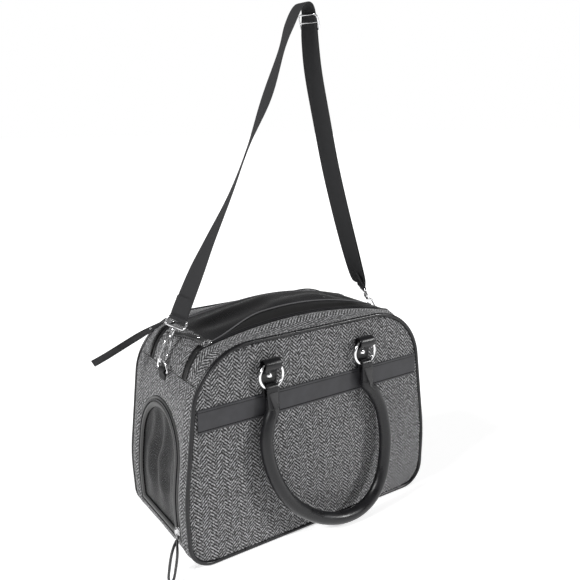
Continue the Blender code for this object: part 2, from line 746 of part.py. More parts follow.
def build_sliders(bag):
    """Three zip sliders with their pulls."""
    for side, name in ((-1, "front"), (1, "rear")):
        place, along, out = roof_frame(SLIDER_X, side)
        body = place + out * SLIDER_LIFT
        frame = flat_matrix(body, along, Vector((0, 1, 0)))
        slider = block(f"{name}_slider", "chrome", bag,
                       (SLIDER_LENGTH, SLIDER_WIDTH, SLIDER_HEIGHT), frame, SLIDER_EDGE)
        set_pivot(slider, (0, 0, ZIP_TOP - ZIP_ARC_RADIUS))
        if side < 0:
            start = body + out * 0.0046 - along * 0.0020
            heading = Vector(FRONT_PULL_HEADING)
            length = FRONT_PULL_LENGTH
        else:
            start = body - along * 0.0105 + out * 0.0033
            heading = Vector(REAR_PULL_HEADING)
            length = REAR_PULL_LENGTH
        pull = strip(f"{name}_pull", "leather", bag, start, heading, length)
        set_pivot(pull, start)
    z = DOOR_SLIDER_Z
    x = -(FLOOR_HALF + (BELLY_HALF - FLOOR_HALF) * z / BELLY_Z)
    place = Vector((x - 0.0012, -(DOOR_HALF - DOOR_TAPE / 2 + 0.001), z))
    slider = block("door_slider", "chrome", bag, (SLIDER_HEIGHT, SLIDER_WIDTH, SLIDER_LENGTH),
                   Matrix.Translation(place), SLIDER_EDGE)
    set_pivot(slider, DOOR_ZIP_CENTRE)
    start = place + Vector((-0.0035, -0.0030, -0.0060))
    reach = DOOR_PULL_LENGTH
    drop = -(start.z - DOOR_PULL_REST_Z) / reach
    level = math.sqrt(1 - drop * drop)
    heading = Vector((-0.62 * level, -0.785 * level, drop))
    set_pivot(strip("door_pull", "leather", bag, start, heading, reach), start)


def main():
    clear_scene()
    bag = make_collection("pet_carrier_bag")
    cutters = make_collection("cutters")
    build_faces(bag)
    build_gusset(bag)
    build_left_end(bag, cutters)
    build_inside(bag)
    build_flap(bag)
    build_handle(bag, -1, "front")
    build_handle(bag, 1, "rear")
    build_strap_end(bag, -1, "left")
    build_strap_end(bag, 1, "right")
    build_strap(bag)
    build_sliders(bag)


main()
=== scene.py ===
"""The look of the pet carrier bag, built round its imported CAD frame.

Metres, +Z up, +X along the bag, -Y towards its front face.
"""
import bisect
import json
import math

import bmesh
import bpy
from mathutils import Matrix, Vector, noise

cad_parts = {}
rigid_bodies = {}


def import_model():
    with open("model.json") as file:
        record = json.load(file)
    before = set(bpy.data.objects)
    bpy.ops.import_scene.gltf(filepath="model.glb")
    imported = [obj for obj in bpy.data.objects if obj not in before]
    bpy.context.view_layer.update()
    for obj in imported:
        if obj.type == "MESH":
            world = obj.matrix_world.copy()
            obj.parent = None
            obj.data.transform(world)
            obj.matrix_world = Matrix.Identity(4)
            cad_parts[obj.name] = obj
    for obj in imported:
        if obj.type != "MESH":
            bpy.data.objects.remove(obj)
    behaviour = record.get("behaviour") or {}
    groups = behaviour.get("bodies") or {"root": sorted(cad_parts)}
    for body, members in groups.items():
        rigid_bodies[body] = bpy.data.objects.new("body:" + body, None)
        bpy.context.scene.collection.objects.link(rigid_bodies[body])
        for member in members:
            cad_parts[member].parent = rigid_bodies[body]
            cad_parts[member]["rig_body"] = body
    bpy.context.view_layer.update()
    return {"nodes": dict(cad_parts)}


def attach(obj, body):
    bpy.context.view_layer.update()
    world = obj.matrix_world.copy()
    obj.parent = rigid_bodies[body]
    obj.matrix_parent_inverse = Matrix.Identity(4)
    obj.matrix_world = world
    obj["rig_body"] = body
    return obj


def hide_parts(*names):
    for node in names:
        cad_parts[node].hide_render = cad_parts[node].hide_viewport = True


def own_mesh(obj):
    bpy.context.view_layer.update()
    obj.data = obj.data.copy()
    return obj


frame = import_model()

# Shell outline, seen from the front: half lengths at the floor, belly and top
HEIGHT = 0.305
WIDTH = 0.195
FLOOR_HALF = 0.2075
BELLY_HALF = 0.2110
BELLY_Z = 0.095
TOP_HALF = 0.184
FLOOR_RADIUS = 0.038
BELLY_RADIUS = 0.30
SHOULDER_RADIUS = 0.09

# Cloth and trim
GAP = 0.0003
PIPING_RADIUS = 0.003
SHELL_DEPTH = 0.0015
BASE_HALF = 0.160
SEAM_Z = 0.256
BAND_LOW = 0.1945
BAND_HIGH = 0.2275
BAND_HALF = 0.1865
SEAM_GAP = 0.0005

# The padded mat inside: half its size, and the heights of its two sides
MAT_HALF_X = 0.168
MAT_HALF_Y = 0.084
MAT_LOW = 0.0071
MAT_HIGH = 0.0268

# Roof: the zips follow an arc over the middle of the bag
ZIP_Y = 0.058
STRIP_Y = 0.063
ZIP_TOP = 0.316
ZIP_ARC_RADIUS = 0.642
ZIP_END_X = 0.160
DOME_RISE = 0.014
FLAP_LEFT = -0.154
FLAP_RIGHT = 0.150
FLAP_BAND = 0.012
MESH_Y = 0.035

# End door
DOOR_HALF = 0.070
DOOR_BOTTOM = 0.030
DOOR_SPRING = 0.143
DOOR_TOP = 0.215
DOOR_TAPE = 0.006
DOOR_BINDING = 0.010

# Handles and their rings
RING_X = 0.080
RING_RADIUS = 0.018
RING_WIRE = 0.002
TAB_LOOP_Z = 0.2690
RIVET_Z = 0.2520
RING_DROP = 0.0155
TAB_LOOP = 0.0085
TAB_HOLE = 0.0068
TAB_WIDTH = 0.024
HANDLE_PIVOT_Z = 0.2367
HANDLE_LOOP = 0.0055
HANDLE_HOLE = 0.0038
HANDLE_LOOP_WIDTH = 0.018
HANDLE_RADIUS = 0.00925
HANDLE_TOP_Z = 0.2110
HANDLE_TOP_OUT = 0.0032
HANDLE_LEAN = 0.079
# The rolled handle's centre line, as it hangs: a little askew
HANDLE_ROUTE = [
    (-0.0812, 0.2110), (-0.0816, 0.2050), (-0.0890, 0.1880), (-0.0945, 0.1620), (-0.0910, 0.1300),
    (-0.0785, 0.0940), (-0.0570, 0.0610), (-0.0270, 0.0350), (0.0030, 0.0195), (0.0320, 0.0128),
    (0.0600, 0.0155), (0.0850, 0.0300), (0.1015, 0.0545), (0.1105, 0.0890), (0.1125, 0.1240),
    (0.1060, 0.1640), (0.0920, 0.1920), (0.0816, 0.2050), (0.0812, 0.2110),
]

# Shoulder strap and its hardware
STRAP_TAB_Z = 0.2525
STRAP_LOOP = 0.0040
STRAP_HOLE = 0.0023
STRAP_TAB_WIDTH = 0.018
DEE_RADIUS = 0.016
DEE_WIRE = 0.0015
HOOK_WIRE = 0.0018
DEE_BAR = 0.0125
HOOK_BOW = 0.0055
HOOK_CLEAR = 0.0018
EYE_UP = 0.0510
EYE_WIDTH = 0.0290
EYE_DEPTH = 0.0120
EYE_WIRE = 0.0016
GATE_WIRE = 0.0012
# Along the hook from its bow's centre, and out from its axis
GATE_LINE = [(0.0255, -0.0030), (0.0170, -0.0046), (0.0092, -0.0052)]
WEB_WIDTH = 0.025
WEB_THICK = 0.0016
STRAP_ROUTE = [
    (-0.1335, 0.3800), (-0.1105, 0.4221), (-0.0745, 0.4849), (-0.0436, 0.5484), (-0.0127, 0.6121),
    (0.0134, 0.6757), (0.0275, 0.7090), (0.0400, 0.7310), (0.0510, 0.7385), (0.0590, 0.7290),
    (0.0605, 0.6930), (0.0662, 0.6453), (0.0807, 0.5785), (0.0969, 0.5084), (0.1178, 0.4342),
    (0.1380, 0.3690), (0.1510, 0.3330),
]
# How the webbing's width is turned from +X at each of those points and at its two ends
STRAP_TURN = [-40, -58, -84, -110, -116, -88, -102, -88, -86, -84, -76, -60, -50, -46, -46, -50,
              -62, -76, -112]
SLIDE_FROM_TOP = 0.022
SLIDE_WIDTH = 0.0310
SLIDE_LENGTH = 0.0220
SLIDE_WIRE = 0.0013

# Sliders and their leather pulls
SLIDER_X = -0.150
SLIDER_Y = 0.0606
PULL_WIDTH = 0.010
PULL_THICK = 0.0024
SLIDER_LIFT = 0.0026
FRONT_PULL_HEADING = (-0.12, 0.99, -0.085)
FRONT_PULL_LENGTH = 0.090
REAR_PULL_HEADING = (-0.924, 0, -0.382)
REAR_PULL_LENGTH = 0.119
DOOR_SLIDER_Z = 0.050
DOOR_PULL_LENGTH = 0.058
DOOR_PULL_REST_Z = 0.0040


# Where the handles turn from flat strap to roll, and the band's stitch lines
ROLL_TOP = 0.2330
ROLL_RISE = 0.024
FOLD_HALF = 0.00085
BAND_STITCH = 0.0036

# What several pieces share: the face's plane, the edges of end panels and flap, the handle loops
FACE_PLANE = WIDTH / 2 - 0.002
PANEL_EDGE = WIDTH / 2 - 2 * PIPING_RADIUS - GAP
FLAP_EDGE = ZIP_Y - GAP
LOOP_Y = FACE_PLANE + GAP + TAB_LOOP
SIDES = ((-1, "front"), (1, "rear"))
HANDS = ((-1, "left"), (1, "right"))
ALONG = Vector((1, 0, 0))
UP = Vector((0, 0, 1))

# ---------------------------------------------------------------- outlines

def arc(centre, radius, start_deg, end_deg, count):
    """Points on an arc, both ends included."""
    points = []
    for i in range(count + 1):
        angle = math.radians(start_deg + (end_deg - start_deg) * i / count)
        points.append(centre + radius * Vector((math.cos(angle), math.sin(angle))))
    return points


def rounded(corners, step_deg=10.0):
    """An open line through (a, b, radius) corners, with an arc at each inner corner."""
    points = [Vector(corners[0][:2])]
    for before, corner, after in zip(corners, corners[1:], corners[2:]):
        here = Vector(corner[:2])
        back = (Vector(before[:2]) - here).normalized()
        ahead = (Vector(after[:2]) - here).normalized()
        half = back.angle(ahead) / 2
        reach = corner[2] / math.tan(half)
        centre = here + (back + ahead).normalized() * corner[2] / math.sin(half)
        spoke = here + back * reach - centre
        turn = math.pi - 2 * half
        side = 1 if back.cross(ahead) < 0 else -1
        count = max(2, math.ceil(math.degrees(turn) / step_deg))
        for i in range(count + 1):
            points.append(centre + Matrix.Rotation(side * turn * i / count, 2) @ spoke)
    points.append(Vector(corners[-1][:2]))
    return points


def rounded_ring(width, height, radius, step_deg=18.0):
    """A closed rounded rectangle about the origin."""
    w, h = width / 2, height / 2
    line = rounded([(0, -h, 0), (w, -h, radius), (w, h, radius), (-w, h, radius),
                    (-w, -h, radius), (0, -h, 0)], step_deg)
    return line[:-1]


class Rim:
    """The shell's closed outline in XZ; u is the length along it from the top's centre, to +X."""

    def __init__(self):
        half = rounded([(0, HEIGHT, 0), (TOP_HALF, HEIGHT, SHOULDER_RADIUS),
                        (BELLY_HALF, BELLY_Z, BELLY_RADIUS), (FLOOR_HALF, 0, FLOOR_RADIUS),
                        (0, 0, 0)], 2.5)
        mirrored = [Vector((-p.x, p.y)) for p in reversed(half[1:-1])]
        self.points = half + mirrored
        self.lengths = [0.0]
        for a, b in zip(self.points, self.points[1:] + self.points[:1]):
            self.lengths.append(self.lengths[-1] + (b - a).length)
        self.total = self.lengths[-1]
        self.normals = []
        for i, here in enumerate(self.points):
            before = (here - self.points[i - 1]).normalized()
            after = (self.points[(i + 1) % len(self.points)] - here).normalized()
            along = (before + after).normalized()
            self.normals.append(Vector((-along.y, along.x)))

    def at(self, u):
        """The point and the outward normal at u."""
        u = u % self.total
        i = min(bisect.bisect_left(self.lengths, u, 1), len(self.points)) - 1
        j = (i + 1) % len(self.points)
        part = (u - self.lengths[i]) / (self.lengths[i + 1] - self.lengths[i])
        point = self.points[i].lerp(self.points[j], part)
        return point, self.normals[i].lerp(self.normals[j], part).normalized()

    def where(self, test, start=0.0, step=0.0002):
        """The first u from start, going right and down, at which test(point) holds."""
        u = start
        while not test(self.at(u)[0]):
            u += step
        return u

    def inset(self, depth):
        """The whole outline moved inwards."""
        return [p - n * depth for p, n in zip(self.points, self.normals)]


RIM = Rim()
SEAM_U = RIM.where(lambda p: p.y < SEAM_Z)
FLOOR_U = RIM.where(lambda p: p.x < BASE_HALF, SEAM_U + 0.1)
ZIP_END_U = RIM.where(lambda p: p.x > ZIP_END_X)


def smooth(t):
    t = min(1.0, max(0.0, t))
    return t * t * (3 - 2 * t)


def arc_z(x):
    """Height of the zip line over the middle of the bag."""
    return ZIP_TOP - ZIP_ARC_RADIUS + math.sqrt(ZIP_ARC_RADIUS ** 2 - x * x)


def roof_lift(u, y):
    """How far the roof stands above the rim at u and y."""
    point, normal = RIM.at(u)
    reach = abs(u)
    inner_edge = WIDTH / 2 - 2 * PIPING_RADIUS
    side = smooth((inner_edge - abs(y)) / (inner_edge - STRIP_Y))
    if reach <= ZIP_END_U:
        rise = (arc_z(point.x) - point.y) * UP
        share = 0.0
    else:
        share = smooth((reach - ZIP_END_U) / (SEAM_U - ZIP_END_U))
        edge = RIM.at(ZIP_END_U)[0]
        height = (arc_z(edge.x) - edge.y) * (1 - share)
        rise = height * (UP.lerp(Vector((normal.x, 0, normal.y)), share)).normalized()
    dome = 0.0
    if abs(y) < ZIP_Y:
        length_part = max(0.0, 1 - (point.x / ZIP_END_X) ** 2)
        dome = DOME_RISE * length_part * (1 - (y / ZIP_Y) ** 2)
    return rise * side + dome * UP


def shell_point(u, y, depth, roof):
    point, normal = RIM.at(u)
    out = Vector((normal.x, 0, normal.y))
    place = Vector((point.x, y, point.y)) - out * depth
    if roof:
        place += roof_lift(u, y)
    return place


def catmull(points, count):
    """A smooth line through points, count steps a span."""
    line = []
    padded = [2 * points[0] - points[1]] + points + [2 * points[-1] - points[-2]]
    for a, b, c, d in zip(padded, padded[1:], padded[2:], padded[3:]):
        for i in range(count):
            t = i / count
            line.append(0.5 * ((2 * b) + (c - a) * t + (2 * a - 5 * b + 4 * c - d) * t * t
                               + (3 * b - a - 3 * c + d) * t ** 3))
    line.append(points[-1])
    return line


def door_outline(inset):
    """The arched door's outline in Y and Z, moved inwards by inset."""
    half = DOOR_HALF - inset
    rise = DOOR_TOP - inset - DOOR_SPRING
    line = [Vector((-half, DOOR_BOTTOM + inset)), Vector((half, DOOR_BOTTOM + inset))]
    for i in range(49):
        angle = math.pi * i / 48
        line.append(Vector((half * math.cos(angle), DOOR_SPRING + rise * math.sin(angle))))
    return line


def shell_frame(z, side):
    """Point, outward normal and upward tangent of the shell's end at height z."""
    point, normal = RIM.at(RIM.where(lambda p: p.y < z))
    place = Vector((side * point.x, 0, point.y))
    out = Vector((side * normal.x, 0, normal.y))
    return place, out, Vector((-side * normal.y, 0, abs(normal.x)))


def strap_anchor(side):
    """Where the D ring's straight bar lies in its tab."""
    place, out = shell_frame(STRAP_TAB_Z, side)[:2]
    return place + out * (STRAP_LOOP - 0.0010)


def hook_axis(side):
    """Foot and direction of the snap hook, which points up along its leg of the strap."""
    foot = strap_anchor(side) + Vector((0, 0, DEE_RADIUS))
    x, z = STRAP_ROUTE[0] if side < 0 else STRAP_ROUTE[-1]
    return foot, (Vector((x, 0, z)) - foot).normalized()


def strap_line():
    """Webbing centre line with its width direction and its normal, from left to right."""
    ends = []
    for side in (-1, 1):
        foot, along = hook_axis(side)
        ends.append(foot + along * (HOOK_CLEAR + EYE_UP + EYE_DEPTH / 2 + EYE_WIRE + 2 * GAP))
    knots = [ends[0]] + [Vector((x, 0, z)) for x, z in STRAP_ROUTE] + [ends[1]]
    with_turn = [Vector((*p, turn)) for p, turn in zip(knots, STRAP_TURN)]
    line = catmull(with_turn, 8)
    rows = []
    for i, row in enumerate(line):
        before, after = line[max(0, i - 1)], line[min(len(line) - 1, i + 1)]
        along = (after - before).to_3d().normalized()
        turn = math.radians(row[3])
        level = Vector((math.cos(turn), math.sin(turn), 0))
        across = (level - along * level.dot(along)).normalized()
        rows.append((row.to_3d(), along, across))
    return rows


def roof_frame(x, side):
    """Place on the roof's zip line, and the directions along it and out of it."""
    slope = math.asin(x / ZIP_ARC_RADIUS)
    along = Vector((math.cos(slope), 0, -math.sin(slope)))
    out = Vector((math.sin(slope), 0, math.cos(slope)))
    return Vector((x, side * SLIDER_Y, arc_z(x))), along, out


# ---------------------------------------------------------------- meshes

CORE = Vector((0, 0, 0.150))
SCENE = bpy.context.scene


def lerp(a, b, t):
    return a + (b - a) * t


def wave(x, y, size, seed=0.0):
    """Smooth noise from -1 to 1 with features of the given size."""
    return noise.noise(Vector((x / size, y / size, seed)))


def solid(name, part, finish, body, nodes=(), crease=40):
    """A closed piece, part's (verts, faces, uvs), that rides on a body and stands for its CAD nodes."""
    verts, faces, uvs = part
    mesh = bpy.data.meshes.new(name)
    mesh.from_pydata([tuple(v) for v in verts], [], faces)
    layer = mesh.uv_layers.new(name="cloth")
    for corner in mesh.loops:
        layer.data[corner.index].uv = uvs[corner.vertex_index]
    bm = bmesh.new()
    bm.from_mesh(mesh)
    bmesh.ops.recalc_face_normals(bm, faces=bm.faces)
    bm.to_mesh(mesh)
    bm.free()
    mesh.shade_smooth()
    mesh.set_sharp_from_angle(angle=math.radians(crease))
    slot, look = finish
    mesh.materials.append(look)
    thing = bpy.data.objects.new(name, mesh)
    SCENE.collection.objects.link(thing)
    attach(thing, body)
    if nodes:
        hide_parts(*nodes)
    return thing


def joined(parts):
    """Several closed parts as one."""
    verts, faces, uvs = [], [], []
    for more_verts, more_faces, more_uvs in parts:
        base = len(verts)
        verts += more_verts
        uvs += more_uvs
        faces += [tuple(base + i for i in face) for face in more_faces]
    return verts, faces, uvs


def grid(lines, columns, spot):
    """Rows of points and rows of their cloth coordinates; spot(i, j) gives one of each."""
    pairs = [[spot(i, j) for j in range(columns + 1)] for i in range(lines + 1)]
    return [[[pair[k] for pair in row] for row in pairs] for k in (0, 1)]


def thick_faces(n, m, ring=False):
    """Faces round two layers of n rows of m points, the second layer lying under the first."""
    size = n * m
    faces = []
    for i in range(n if ring else n - 1):
        k = (i + 1) % n
        for j in range(m - 1):
            quad = (i * m + j, i * m + j + 1, k * m + j + 1, k * m + j)
            faces += [quad, tuple(size + v for v in reversed(quad))]
        for a, b in ((i * m, k * m), (i * m + m - 1, k * m + m - 1)):
            faces.append((a, b, size + b, size + a))
    for i in () if ring else (0, n - 1):
        for a in range(i * m, i * m + m - 1):
            faces.append((a, a + 1, size + a + 1, size + a))
    return faces


def slab(cloth, thickness, ring=False):
    """A closed cloth from the grid of its outer side, thickened towards the bag's inside."""
    rows, uvs = cloth
    n, m = len(rows), len(rows[0])
    outer, inner = [], []
    for i, row in enumerate(rows):
        before = rows[(i - 1) % n if ring else max(i - 1, 0)]
        after = rows[(i + 1) % n if ring else min(i + 1, n - 1)]
        for j, here in enumerate(row):
            along = row[min(j + 1, m - 1)] - row[max(j - 1, 0)]
            normal = (after[j] - before[j]).cross(along).normalized()
            if normal.dot(here - CORE) < 0:
                normal.negate()
            outer.append(here)
            inner.append(here - normal * thickness)
    flat = [uv for row in uvs for uv in row]
    return outer + inner, thick_faces(n, m, ring), flat + flat


def tangents(path, closed=False):
    n = len(path)
    found = []
    for i in range(n):
        before = path[i - 1] if closed or i else path[0]
        after = path[(i + 1) % n] if closed or i < n - 1 else path[-1]
        found.append((after - before).normalized())
    return found


def carried(path, start, closed=False):
    """Width directions along path, turned as little as possible from start."""
    found = []
    across = Vector(start)
    for along in tangents(path, closed):
        across = (across - along * across.dot(along)).normalized()
        found.append(across)
    return found


def sweep(path, across, profiles, closed=False):
    """A closed skin through one profile of (width, height) points at each point of path."""
    verts, faces, uvs = [], [], []
    count, rings = len(profiles[0]), len(path)
    length = 0.0
    for i, along in enumerate(tangents(path, closed)):
        height = across[i].cross(along)
        length += (path[i] - path[i - 1]).length if i else 0.0
        for x, y in profiles[i]:
            verts.append(path[i] + across[i] * x + height * y)
            uvs.append((x, length))
    for i in range(rings if closed else rings - 1):
        k = (i + 1) % rings
        for j in range(count):
            nxt = (j + 1) % count
            faces.append((i * count + j, i * count + nxt, k * count + nxt, k * count + j))
    if not closed:
        faces += [tuple(range(count)), tuple((rings - 1) * count + j for j in range(count))]
    return verts, faces, uvs


def oval(a, b, power=2.0, count=16, ridge=0.0, ridge_at=0.0):
    """A superellipse from round, power 2, to nearly square, with an optional ridge at one angle."""
    points = []
    for i in range(count):
        angle = math.tau * (i + 0.5) / count
        c, s = math.cos(angle), math.sin(angle)
        off = math.remainder(angle - ridge_at, math.tau)
        swell = 1 + ridge * math.exp(-(off / 0.30) ** 2)
        points.append((a * swell * math.copysign(abs(c) ** (2 / power), c),
                       b * swell * math.copysign(abs(s) ** (2 / power), s)))
    return points


def rod(path, radius, closed=False, swell=None, sides=12, start=None):
    """A round wire along path, its radius multiplied by swell at each point."""
    first = start or tangents(path, closed)[0].orthogonal()
    swell = swell or [1] * len(path)
    return sweep(path, carried(path, first, closed),
                 [oval(radius * s, radius * s, 2, sides) for s in swell], closed)


def ribbon(path, across, width, thick, taper=None):
    """A flat strip with softened edges along path; across may be its first direction only."""
    if not isinstance(across, list):
        across = carried(path, across)
    shares = taper or [1.0] * len(path)
    return sweep(path, across, [oval(width / 2 * share, thick / 2, 5, 16) for share in shares])


def brick(place, along, up, size):
    """A small box: size along, across and up."""
    across = up.cross(along).normalized()
    a, b, c = (along * size[0] / 2, across * size[1] / 2, up * size[2] / 2)
    verts = [place + a * i + b * j + c * k for i in (-1, 1) for j in (-1, 1) for k in (-1, 1)]
    faces = [(0, 1, 3, 2), (4, 6, 7, 5), (0, 4, 5, 1), (2, 3, 7, 6), (0, 2, 6, 4), (1, 5, 7, 3)]
    return verts, faces, [(0.0, 0.0)] * 8


def stitches(line, up_of, pitch=0.0036, size=(0.0024, 0.0007, 0.0005)):
    """A row of thread stitches along line; up_of(i) is the surface's normal there."""
    parts, left = [], 0.0
    for i, (a, b) in enumerate(zip(line, line[1:])):
        way = b - a
        while left < way.length:
            place = a + way.normalized() * left
            parts.append(brick(place, way.normalized(), up_of(i), size))
            left += pitch
        left -= way.length
    return joined(parts)


def turned(profile, place, axis, steps=28):
    """A solid of revolution from (radius, height) points; the first and last lie on the axis."""
    axis = Vector(axis).normalized()
    side = axis.orthogonal().normalized()
    other = axis.cross(side)
    verts = [place + axis * profile[0][1]]
    for r, h in profile[1:-1]:
        for i in range(steps):
            angle = math.tau * i / steps
            verts.append(place + axis * h + (side * math.cos(angle) + other * math.sin(angle)) * r)
    verts.append(place + axis * profile[-1][1])
    faces = []
    rings = len(profile) - 2
    for i in range(steps):
        k = (i + 1) % steps
        faces.append((0, 1 + i, 1 + k))
        for j in range(rings - 1):
            a, b = 1 + j * steps, 1 + (j + 1) * steps
            faces.append((a + i, b + i, b + k, a + k))
        last = 1 + (rings - 1) * steps
        faces.append((last + k, last + i, len(verts) - 1))
    return verts, faces, [(v.x, v.y) for v in verts]


# ---------------------------------------------------------------- finishes

class Look:
    """A procedural material being wired up."""

    def __init__(self, name, colour, roughness, metallic=0.0):
        self.made = bpy.data.materials.new(name)
        self.made.use_nodes = True
        self.tree = self.made.node_tree
        self.shader = self.tree.nodes["Principled BSDF"]
        self.put(self.shader, "Base Color", (*colour, 1))
        self.put(self.shader, "Roughness", roughness)
        self.put(self.shader, "Metallic", metallic)

    def put(self, node, socket, value):
        if isinstance(value, bpy.types.NodeSocket):
            self.tree.links.new(value, node.inputs[socket])
        else:
            node.inputs[socket].default_value = value

    def set(self, socket, value):
        self.put(self.shader, socket, value)

    def math(self, operation, a, b=0.0, c=0.0):
        node = self.tree.nodes.new("ShaderNodeMath")
        node.operation = operation
        for i, value in enumerate((a, b, c)):
            self.put(node, i, value)
        return node.outputs[0]

    def plus(self, a, b):
        return self.math("ADD", a, b)

    def times(self, a, b):
        return self.math("MULTIPLY", a, b)

    def place(self, kind="Object"):
        node = self.tree.nodes.new("ShaderNodeTexCoord")
        return node.outputs[kind]

    def axes(self, vector):
        node = self.tree.nodes.new("ShaderNodeSeparateXYZ")
        self.put(node, 0, vector)
        return node.outputs[0], node.outputs[1]

    def noise(self, vector, scale, detail=2.0, roughness=0.5):
        node = self.tree.nodes.new("ShaderNodeTexNoise")
        self.put(node, "Vector", vector)
        self.put(node, "Scale", scale)
        self.put(node, "Detail", detail)
        self.put(node, "Roughness", roughness)
        return node.outputs["Fac"]

    def ramp(self, value, low, high, to_low=0.0, to_high=1.0):
        node = self.tree.nodes.new("ShaderNodeMapRange")
        for i, number in enumerate((value, low, high, to_low, to_high)):
            self.put(node, i, number)
        return node.outputs[0]

    def mix(self, share, a, b):
        node = self.tree.nodes.new("ShaderNodeMix")
        node.data_type = "RGBA"
        self.put(node, 0, share)
        self.put(node, 6, a if isinstance(a, bpy.types.NodeSocket) else (*a, 1))
        self.put(node, 7, b if isinstance(b, bpy.types.NodeSocket) else (*b, 1))
        return node.outputs[2]

    def bump(self, height, distance, strength=1.0):
        node = self.tree.nodes.new("ShaderNodeBump")
        self.put(node, "Height", height)
        self.put(node, "Distance", distance)
        self.put(node, "Strength", strength)
        self.put(self.shader, "Normal", node.outputs[0])


def tweed(name, dark, light):
    """Herringbone of black and white yarn, in columns of sloping twill."""
    column, pitch = 0.0110, 0.0052
    look = Look(name, light, 0.95)
    uv = look.place("UV")
    across, along = look.axes(uv)
    parity = look.math("FLOORED_MODULO", look.math("FLOOR", look.math("DIVIDE", across, column)), 2)
    zigzag = look.math("PINGPONG", across, column)
    shake = look.times(look.math("SUBTRACT", look.noise(uv, 420, 1), 0.5), 0.0016)
    phase = look.math("DIVIDE", look.plus(look.plus(along, zigzag), shake), pitch)
    phase = look.plus(phase, look.times(parity, 0.5))
    stripe = look.ramp(look.math("SINE", look.times(phase, math.tau)), -0.45, 0.45)
    yarn = look.ramp(look.noise(uv, 360, 1, 0.6), 0.45, 0.57)
    patch = look.ramp(look.noise(uv, 190, 2), 0.36, 0.64, 0.55, 1.35)
    share = look.math("MULTIPLY_ADD", stripe, 0.60, look.times(yarn, 0.45))
    share = look.math("POWER", look.math("MAXIMUM", share, 0.0), 2.3)
    share = look.times(share, patch)
    look.set("Base Color", look.mix(share, dark, light))
    look.set("Sheen Weight", 0.15)
    height = look.plus(look.times(stripe, 0.6), look.times(yarn, 0.4))
    look.bump(height, 0.0003, 0.3)
    return look.made


def leather(name, colour, roughness, grain=900, depth=0.00012):
    """Smooth semi-gloss leather with fine grain and faint creases."""
    look = Look(name, colour, roughness)
    where = look.place()
    fine = look.noise(where, grain, 3, 0.6)
    coarse = look.noise(where, grain / 12, 3)
    look.set("Roughness", look.ramp(coarse, 0.3, 0.7, roughness - 0.07, roughness + 0.09))
    look.set("Specular IOR Level", 0.38)
    tone = tuple(min(1.0, c * 1.5) for c in colour)
    look.set("Base Color", look.mix(look.ramp(coarse, 0.35, 0.75), colour, tone))
    look.bump(look.plus(fine, look.times(coarse, 1.6)), depth)
    return look.made


def netting(name, colour, pitch, hole):
    """Knitted mesh: rows of round holes, open right through."""
    look = Look(name, colour, 0.45)
    look.set("Sheen Weight", 0.10)
    across, along = look.axes(look.place("UV"))
    row = look.math("DIVIDE", along, pitch * 0.866)
    shift = look.times(look.math("FLOORED_MODULO", look.math("FLOOR", row), 2), 0.5)
    x = look.math("FRACT", look.plus(look.math("DIVIDE", across, pitch), shift))
    x = look.math("SUBTRACT", x, 0.5)
    y = look.times(look.math("SUBTRACT", look.math("FRACT", row), 0.5), 0.866)
    reach = look.math("SQRT", look.plus(look.times(x, x), look.times(y, y)))
    look.set("Alpha", look.ramp(reach, hole, hole + 0.08))
    look.bump(reach, 0.0003, 0.6)
    return look.made


def woven(name, colour, pitch, depth, roughness=0.8, glossy=0.0):
    """Webbing or zip tape: ribs across the length and finer ones along it."""
    look = Look(name, colour, roughness)
    uv = look.place("UV")
    across, along = look.axes(uv)
    ribs = look.math("SINE", look.times(along, math.tau / pitch))
    warp = look.math("SINE", look.times(across, math.tau / (pitch * 0.8)))
    height = look.math("MULTIPLY_ADD", look.times(ribs, warp), 0.5, 0.5)
    fuzz = look.noise(uv, 900, 2)
    tone = tuple(c * 0.45 for c in colour)
    share = look.math("MULTIPLY_ADD", height, 0.7, look.times(fuzz, 0.3))
    look.set("Base Color", look.mix(share, tone, colour))
    look.set("Coat Weight", glossy)
    look.set("Coat Roughness", 0.3)
    look.bump(share, depth)
    return look.made


def plain(name, colour, roughness, metallic=0.0, scale=60, change=0.05):
    """One colour whose gloss varies a little from place to place."""
    look = Look(name, colour, roughness, metallic)
    spot = look.noise(look.place(), scale, 3)
    low, high = max(0.02, roughness - change), roughness + change
    look.set("Roughness", look.ramp(spot, 0.3, 0.7, low, high))
    return look.made


def fleece(name, colour):
    """Soft pile."""
    look = Look(name, colour, 1.0)
    pile = look.noise(look.place(), 500, 4, 0.7)
    tone = tuple(c * 0.5 for c in colour)
    look.set("Base Color", look.mix(pile, tone, colour))
    look.set("Sheen Weight", 0.4)
    look.bump(pile, 0.0012)
    return look.made


TWEED = ("tweed", tweed("tweed cloth", (0.002, 0.002, 0.002), (0.37, 0.37, 0.38)))
LEATHER_LOOK = ("leather", leather("black leather", (0.006, 0.006, 0.007), 0.30))
STRIP_LOOK = ("leather", leather("pull leather", (0.024, 0.024, 0.025), 0.38))
BAND_LOOK = ("band", leather("satin band", (0.026, 0.026, 0.029), 0.44, 700, 0.00008))
NET = ("mesh", netting("mesh fabric", (0.006, 0.006, 0.007), 0.0017, 0.25))
TAPE = ("zip", woven("zip tape", (0.005, 0.005, 0.005), 0.0011, 0.00008, 0.45, 0.4))
COIL = ("zip", plain("zip coil", (0.020, 0.020, 0.022), 0.35))
EDGE = ("mesh", plain("seam cord", (0.09, 0.09, 0.095), 0.5))
WEB = ("webbing", woven("strap webbing", (0.022, 0.022, 0.024), 0.0022, 0.00030))
CHROME = ("chrome", plain("polished metal", (0.82, 0.82, 0.83), 0.14, 1.0, 40, 0.03))
BOARD = ("board", plain("stiff board", (0.05, 0.05, 0.055), 0.8))
FLEECE = ("fleece", fleece("mat fleece", (0.22, 0.22, 0.23)))
THREAD = ("leather", plain("thread", (0.004, 0.004, 0.004), 0.8))


